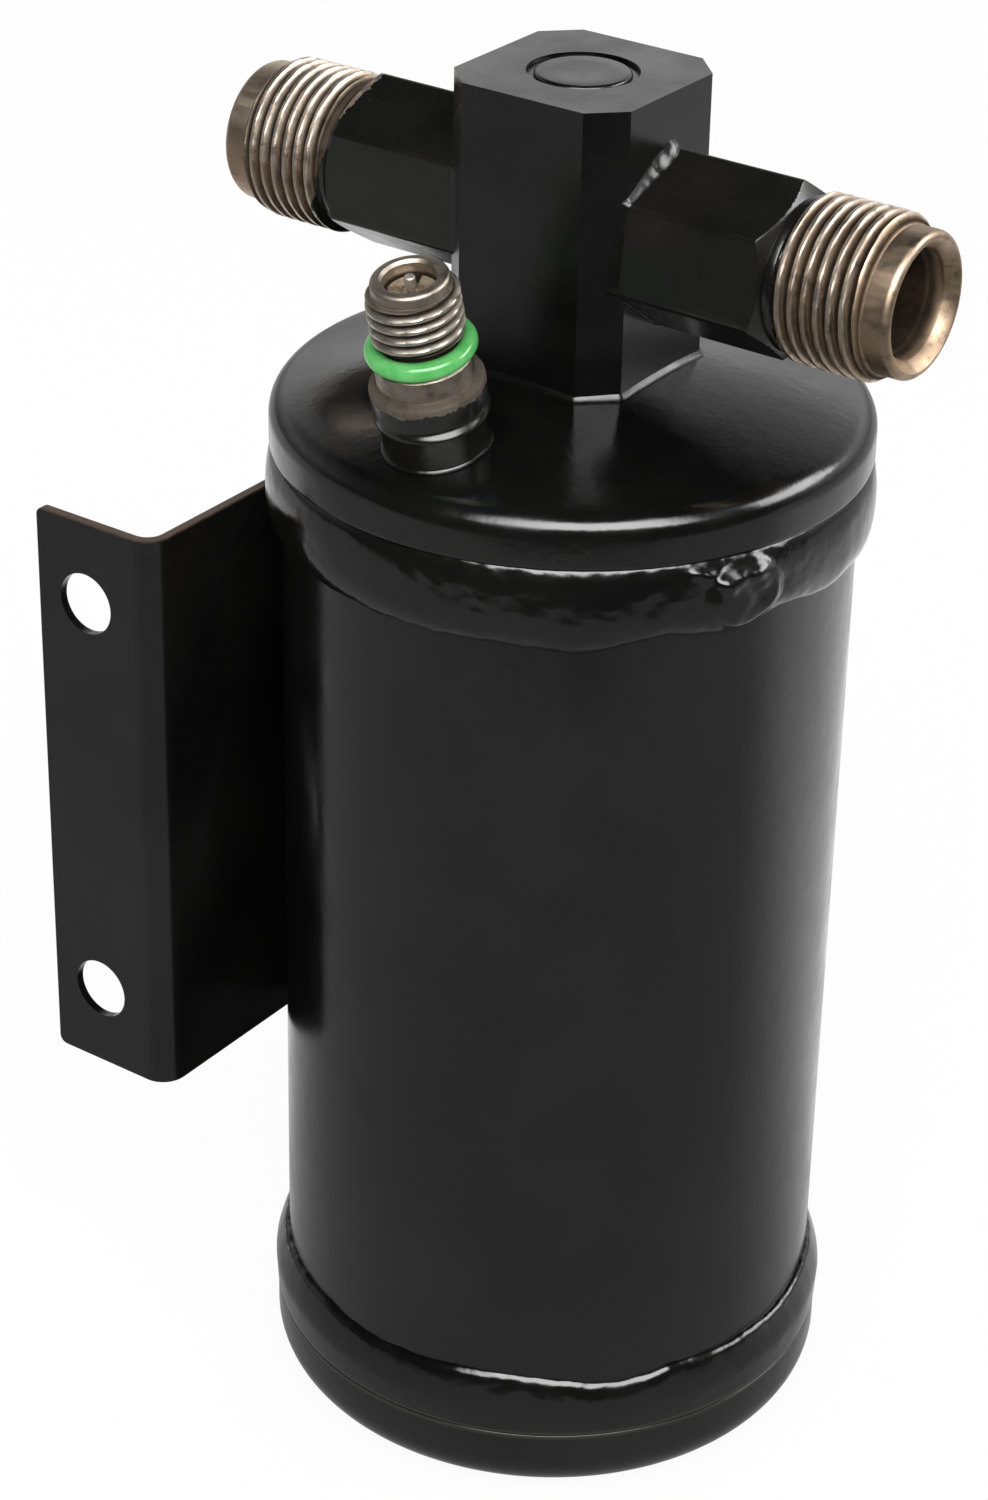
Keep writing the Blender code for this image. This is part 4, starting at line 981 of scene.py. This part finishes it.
def make_port(finish, foot_finish, green, place):
    segments = 160
    angles = [a for a, _, _ in circle(segments)]

    def ring(z, radii):
        return [(r * math.cos(a), r * math.sin(a), z) for r, a in zip(radii, angles)]

    edge = 0.00035
    at = PORT_STATIONS
    profile = [(PORT_NECK_RADIUS, PORT_ROOT), (PORT_NECK_RADIUS, at["collar"] - 0.0002)]
    profile += arc(PORT_COLLAR_RADIUS - edge, at["collar"] + edge, edge, -90, 0, 6)
    profile += [(PORT_COLLAR_RADIUS, at["collar"] + PAINT_ROLL * k / 8) for k in range(3, 13)]
    profile += arc(PORT_COLLAR_RADIUS - edge, at["band"] - edge, edge, 0, 90, 4)
    profile += [(PORT_BAND_RADIUS + 0.0001, at["band"] + 0.00005)]
    profile += [(PORT_BAND_RADIUS, at["band"] + 0.0003), (PORT_BAND_RADIUS, at["groove"] - 0.0002)]
    profile += [(PORT_BAND_RADIUS - 0.0002, at["groove"])]
    profile += [(PORT_GROOVE_RADIUS, z) for z in (at["groove"] + 0.0001, at["thread"] - 0.0001)]
    rings = []
    for r, z in profile:
        rise = z - at["collar"]
        roll = ease(rise, 0.0, 0.3 * PAINT_ROLL) * ease(-rise, -PAINT_ROLL, -0.35 * PAINT_ROLL)
        swells = [0.08 + 0.92 * bell(wrapped(math.degrees(a) + 40), 0, 50) for a in angles]
        rings.append(ring(z, [r + 0.00062 * roll * swell for swell in swells]))
    root = PORT_THREAD_RADIUS - PORT_THREAD_DEPTH
    for z in np.linspace(at["thread"], PORT_THREAD_END, 66):
        start = root + (z - at["thread"]) * 1.4
        stop = root + (PORT_THREAD_END - z) * 1.2 + 0.00015
        radii = []
        for a in angles:
            r = helix_radius(z, a, PORT_THREAD_PITCH, 1, root, PORT_THREAD_RADIUS)
            nick = 0.00002 * grain(z, r * math.cos(a), r * math.sin(a), 600, 2)
            radii.append(min(r, start, stop) + nick)
        rings.append(ring(z, radii))
    soft = 0.0005
    profile = [(PORT_NOSE_RADIUS, PORT_THREAD_END + 0.0001)]
    profile += arc(PORT_NOSE_RADIUS - soft, PORT_MOUTH - soft, soft, 0, 90, 5)
    profile += [(PORT_BORE_RADIUS + 0.0003, PORT_MOUTH)]
    profile += [(PORT_BORE_RADIUS, PORT_MOUTH - down) for down in (0.0003, PORT_BORE_DEPTH)]
    rings += [ring(z, [r] * segments) for r, z in profile]
    stem = ring_mesh("port_stem", rings, finish, caps=True, smooth=34)
    stem.data.transform(place)
    fix(stem, "pressure_port")

    rings = []
    for _, c, s in circle(160):
        leg = 0.00032 * (1 + 0.12 * grain(c, s, 3.3, 4, 2))
        section = []
        for k in range(9):
            u = k / 8
            r = PORT_NECK_RADIUS - 0.0001 + (leg + 0.0001) * u
            z = 0.00005 + 0.8 * leg * (1 - math.sin(u * math.pi / 2)) - 0.0001 * u
            section.append((r * c, r * s, z))
        inner = PORT_NECK_RADIUS - 0.0006
        rings.append(section + [(inner * c, inner * s, -0.0008)])
    foot = ring_mesh("port_foot_braze", rings, foot_finish, loop=True, smooth=60)
    foot.data.transform(place)
    fix(foot, "port_braze_ring")

    section = arc(ORING_RADIUS, ORING_PLACE, ORING_CORD / 2, 0, 360, 24)[:-1]
    seal = turned("green_oring", section, green, 128, loop=True, place=place, smooth=80)
    fix(seal, "port_oring")


def make_valve_core(brass, steel, place):
    """The core's slotted head inside the mouth, and the sliding pin in its middle."""
    head = PORT_BORE_RADIUS - 0.0001
    top = PORT_MOUTH - CORE_RECESS
    cup = 0.0013
    profile = [(head, PORT_MOUTH - PORT_BORE_DEPTH + 0.0003), (head, top - 0.0002)]
    profile += [(head - 0.0002, top)]
    profile += [(cup + 0.0001, top), (cup, top - 0.0001), (cup, top - 0.0034)]
    core = turned("core_head", profile, brass, 96, caps=True, smooth=34)
    half = 0.00042
    shapes = []
    for turn in (20, 110):
        outline = [(-0.004, -half), (0.004, -half), (0.004, half), (-0.004, half)]
        slot = prism("core_slot", outline, (top - 0.0011, top + 0.001), brass)
        slot.data.transform(Matrix.Rotation(math.radians(turn), 4, "Z"))
        shapes.append(slot)
    cut_with(core, shapes, 34)
    core.data.transform(place)
    fix(core, "valve_core_body")

    r, soft = PIN_TIP_RADIUS, 0.00022
    stem = 0.00045
    collar, collar_top = 0.0014, PORT_MOUTH - 0.0024
    bottom = PORT_MOUTH - PIN_LENGTH
    profile = [(0.0012, bottom - 0.0007), (0.0012, bottom), (stem, bottom)]
    profile += [(stem, collar_top - 0.0005), (collar - 0.0001, collar_top - 0.0005)]
    profile += [(collar, collar_top - 0.0004)]
    profile += [(collar, collar_top - 0.0001), (collar - 0.0001, collar_top), (stem, collar_top)]
    profile += [(stem, PORT_MOUTH - 0.0011), (r, PORT_MOUTH - 0.0010)]
    profile += arc(r - soft, PORT_MOUTH - soft, soft, 0, 90, 4)
    pin = turned("depressor_pin", profile, steel, 48, caps=True, place=place, smooth=34)
    fix(pin, "valve_pin", body="pin")


def make_valve_spring(steel):
    """The core's coil in its own shape, copied from the CAD solid."""
    solid = frame["nodes"]["valve_spring"]
    coil = linked("core_spring", solid.data.copy())
    coil.matrix_world = solid.matrix_world.copy()
    coil.data.materials.clear()
    coil.data.materials.append(steel)
    fix(coil, "valve_spring")
    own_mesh(coil)


def bracket_side(offset):
    """One face of the folded sheet, seen from above, at an offset from its middle."""
    web_x = -(SHELL_RADIUS + FIT_GAP + SHEET / 2)
    flange_y = BRACKET_FACE_Y + SHEET / 2
    bend = BRACKET_BEND - SHEET / 2
    points = [(BRACKET_FREE_X, flange_y - offset)]
    points += arc(web_x - bend, flange_y + bend, bend + offset, -90, 0, 14)
    points += arc(0, 0, -web_x - offset, 180, 180 - math.degrees(SADDLE_ANGLE), 20)
    return points


def make_bracket(finish):
    outline = bracket_side(SHEET / 2) + bracket_side(-SHEET / 2)[::-1]
    sheet = prism("side_bracket", outline, (BRACKET_LOW.z, BRACKET_HIGH.z), finish, 25)
    shape = bmesh.new()
    shape.from_mesh(sheet.data)
    corners = [
        edge for edge in shape.edges
        if all(abs(v.co.x - BRACKET_FREE_X) < 1e-5 for v in edge.verts)
        and abs(edge.verts[0].co.y - edge.verts[1].co.y) > SHEET / 2
    ]
    bmesh.ops.bevel(
        shape, geom=corners, offset=BRACKET_CORNER, offset_type="OFFSET", segments=8,
        profile=0.5, affect="EDGES",
    )
    shape.to_mesh(sheet.data)
    shape.free()
    middle = (BRACKET_LOW.z + BRACKET_HIGH.z) / 2
    past = 0.003
    tools = []
    for sign in (-1, 1):
        z = middle + sign * BRACKET_HOLE_SPACING / 2
        near = (BRACKET_HOLE_X, BRACKET_FACE_Y - past, z)
        far = (BRACKET_HOLE_X, BRACKET_FACE_Y + SHEET + past, z)
        tools.append(rod("bolt_hole", BRACKET_HOLE_RADIUS, near, far, finish, 96))
    reach = 0.05
    trim = [(-reach, 0.0), (0.0, 0.0), (0.0, reach), (-reach, reach)]
    heights = (BRACKET_HIGH.z - SADDLE_TRIM, BRACKET_HIGH.z + past)
    tools.append(prism("saddle_trim", trim, heights, finish))
    cut_with(sheet, tools, 25)
    bevelled(sheet, BRACKET_EDGE, 3)
    fix(sheet, "mounting_bracket")


def make_bracket_welds(finish):
    """Two short runs of ripples where the saddle's edge meets the can."""
    edge = math.pi - SADDLE_ANGLE
    steps = 90
    for place in ("lower", "upper"):
        node = "bracket_" + place + "_weld"
        low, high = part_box(node)
        rings = []
        for i in range(steps + 1):
            u = i / steps
            z = low.z + (high.z - low.z) * u
            ripple = 0.0001 * math.sin(u * 2 * math.pi * 15)
            ends = math.sqrt(max(0.0, 1 - (2 * u - 1) ** 8)) * 0.94 + 0.06
            size = (0.0011 + ripple + 0.0001 * grain(u, 0.3, z, 60, 2)) * ends
            ring = []
            for k in range(12):
                t = 2 * math.pi * k / 12
                r = SHELL_RADIUS + 0.0002 + size * max(-0.2, math.sin(t))
                a = edge - (0.0012 - 1.15 * size * math.cos(t)) / SHELL_RADIUS
                ring.append((r * math.cos(a), r * math.sin(a), z))
            rings.append(ring)
        fix(ring_mesh(place + "_saddle_weld", rings, finish, caps=True, smooth=60), node)


def dress_inner_nodes(steel, brass, black):
    """The CAD solids inside the can keep their shape and get their own finish."""
    felt = soft_fill("filter_felt", (0.60, 0.57, 0.50), (0.78, 0.76, 0.70), 900, 0.0003)
    beads = soft_fill("desiccant_beads", (0.42, 0.34, 0.25), (0.72, 0.63, 0.50), 420, 0.0008)
    finishes = {
        "pickup_tube": steel, "support_deck": steel, "upper_plate": steel, "bed_spring": steel,
        "pickup_strainer": brass, "lower_filter_pad": felt, "upper_filter_pad": felt,
        "desiccant_bed": beads, "valve_core_gasket": black, "valve_pin_seal": black,
    }
    for node, finish in finishes.items():
        slots = frame["nodes"][node].data.materials
        slots.clear()
        slots.append(finish)


def make_camera():
    data = bpy.data.cameras.new("camera")
    data.lens = CAMERA_LENS
    data.sensor_width = 36
    data.clip_start, data.clip_end = 0.01, 20
    camera = linked("camera", data)
    roll = Matrix.Rotation(CAMERA_ROLL, 4, "Z")
    camera.matrix_world = looking(CAMERA_PLACE, CAMERA_TARGET - CAMERA_PLACE) @ roll
    bpy.context.scene.camera = camera


def make_lamp():
    """A soft lamp high in front. Its gloss is left to the soft lights of the world."""
    data = bpy.data.lights.new("soft_lamp", "AREA")
    data.shape = "RECTANGLE"
    data.size, data.size_y = LAMP_SIZE
    data.energy = LAMP_POWER
    flat = math.cos(LAMP_ELEVATION)
    across = (flat * math.cos(LAMP_AZIMUTH), flat * math.sin(LAMP_AZIMUTH))
    away = Vector((*across, math.sin(LAMP_ELEVATION)))
    lamp = linked("soft_lamp", data)
    lamp.matrix_world = looking(LAMP_TARGET + away * LAMP_DISTANCE, -away)
    lamp.visible_camera = False
    lamp.visible_glossy = False


def make_world():
    """White to the camera. Gloss sees a bright sweep behind, two soft lights and a dim room."""
    nodes = Nodes("studio", world=True)
    bpy.context.scene.world = nodes.owner
    height = nodes.axes()[2]
    level = nodes.add("ShaderNodeVectorMath", operation="MULTIPLY")
    nodes.link(nodes.place, level.inputs[0])
    level.inputs[1].default_value = (1, 1, 0)
    heading = nodes.add("ShaderNodeVectorMath", operation="NORMALIZE")
    nodes.link(level.outputs[0], heading.inputs[0])

    def toward(degrees):
        """How much a direction faces an azimuth, from 1 to -1."""
        made = nodes.add("ShaderNodeVectorMath", operation="DOT_PRODUCT")
        nodes.link(heading.outputs[0], made.inputs[0])
        angle = math.radians(degrees)
        made.inputs[1].default_value = (math.cos(angle), math.sin(angle), 0.0)
        return made.outputs["Value"]

    def background(strength):
        made = nodes.add("ShaderNodeBackground")
        made.inputs["Color"].default_value = (1, 1, 1, 1)
        nodes.put(made.inputs["Strength"], strength)
        return made.outputs[0]

    ramp = nodes.add("ShaderNodeValToRGB")
    nodes.link(height, ramp.inputs[0])
    stops = ramp.color_ramp.elements
    while len(stops) < len(SWEEP):
        stops.new(0.5)
    for stop, (at, value) in zip(stops, SWEEP):
        stop.position = at
        stop.color = (value, value, value, 1.0)
    behind = nodes.spread(toward(SWEEP_FRONT), -0.55, 0.35, SWEEP_LEVEL, 0.05)
    dim_left = nodes.spread(toward(DIM_SIDE), 0.55, 0.95, 1.0, 0.45)
    glow = nodes.times(behind, dim_left, ramp.outputs[0])
    for azimuth, sides, low, high, strength in SOFT_LIGHTS:
        across = nodes.spread(toward(azimuth), *sides, 0.0, strength)
        upper = nodes.spread(height, *high, 1.0, 0.0)
        glow = nodes.plus(glow, nodes.times(across, nodes.spread(height, *low), upper))
    room, studio = background(WORLD_LEVEL), background(glow)
    reflected = nodes.blend(nodes.ray("Is Glossy Ray"), room, studio)
    nodes.show(nodes.blend(nodes.ray("Is Camera Ray"), reflected, background(1.0)))


def make_floor():
    """A pale floor that fades to white for the camera and keeps a faint shadow."""
    nodes = Nodes("pale_floor")
    shader = nodes.shader
    shader.inputs["Base Color"].default_value = (0.8, 0.8, 0.8, 1)
    shader.inputs["Roughness"].default_value = 0.9
    shader.inputs["Specular IOR Level"].default_value = 0.0
    x, y, _ = nodes.axes()

    def along(share_x, share_y):
        return nodes.plus(nodes.times(x, share_x), nodes.times(y, share_y))

    near = nodes.spread(along(*FLOOR_NEAR), 0.250, 0.305, 0.40, 0.04)
    behind = nodes.spread(along(*FLOOR_BACK), -0.02, 0.09, 0.0, 0.7)
    fade = nodes.spread(radial_distance(nodes, x, y), 0.20, 0.45, 1.0, 0.2)
    reflected = nodes.add("ShaderNodeEmission")
    nodes.put(reflected.inputs["Strength"], nodes.plus(near, nodes.times(behind, fade)))
    seen = nodes.add("ShaderNodeEmission")
    seen.inputs["Strength"].default_value = 0.93
    dim = nodes.add("ShaderNodeBsdfDiffuse")
    dim.inputs["Color"].default_value = (0.09, 0.09, 0.09, 1)
    both = nodes.add("ShaderNodeAddShader")
    nodes.link(seen.outputs[0], both.inputs[0])
    nodes.link(dim.outputs[0], both.inputs[1])
    mirror = nodes.blend(nodes.ray("Is Glossy Ray"), shader.outputs[0], reflected.outputs[0])
    nodes.show(nodes.blend(nodes.ray("Is Camera Ray"), mirror, both.outputs[0]))
    mesh = bpy.data.meshes.new("floor")
    h = FLOOR_HALF
    mesh.from_pydata([(-h, -h, 0), (h, -h, 0), (h, h, 0), (-h, h, 0)], [], [(0, 1, 2, 3)])
    mesh.materials.append(nodes.owner)
    floor = linked("floor", mesh)
    floor.location.z = -0.0001


def main():
    bpy.context.scene.view_settings.view_transform = "Standard"
    make_camera()
    make_lamp()
    make_world()
    make_floor()
    smooth = enamel("enamel_on_pressed_steel")
    machined = enamel("enamel_on_machined_steel", 0.000012, (0.20, 0.30))
    weld = enamel("enamel_on_weld", 0.00003, (0.10, 0.19))
    beads = enamel("enamel_on_can_ends", 0.00003, (0.11, 0.20), seam=BASE_HIGH.z)
    sheet = sheared_enamel("enamel_on_sheet", BRACKET_HIGH.z)
    green = rubber("green_oring_rubber", GREEN, GREEN_LIGHT, (0.12, 0.22))
    black = rubber("black_seal_rubber", (0.012,) * 3, (0.03,) * 3, (0.5, 0.7))
    brass = metal("aged_brass", BRASS, (0.22, 0.17, 0.12), (0.42, 0.58), 0.6)
    tip = metal("aged_pin", WARM_STEEL_LIGHT, (0.20, 0.15, 0.10), (0.35, 0.50), 0.7)
    steel = metal("bright_steel", STEEL, (0.20, 0.17, 0.14), (0.22, 0.36))
    place = port_matrix()
    make_can(smooth, beads)
    make_can_beads(beads)
    make_block(machined)
    make_fittings(fitting_finish(), machined)
    make_port(port_finish(place.inverted()), machined, green, place)
    make_valve_core(brass, tip, place)
    make_valve_spring(steel)
    make_bracket(sheet)
    make_bracket_welds(weld)
    dress_inner_nodes(steel, brass, black)


main()
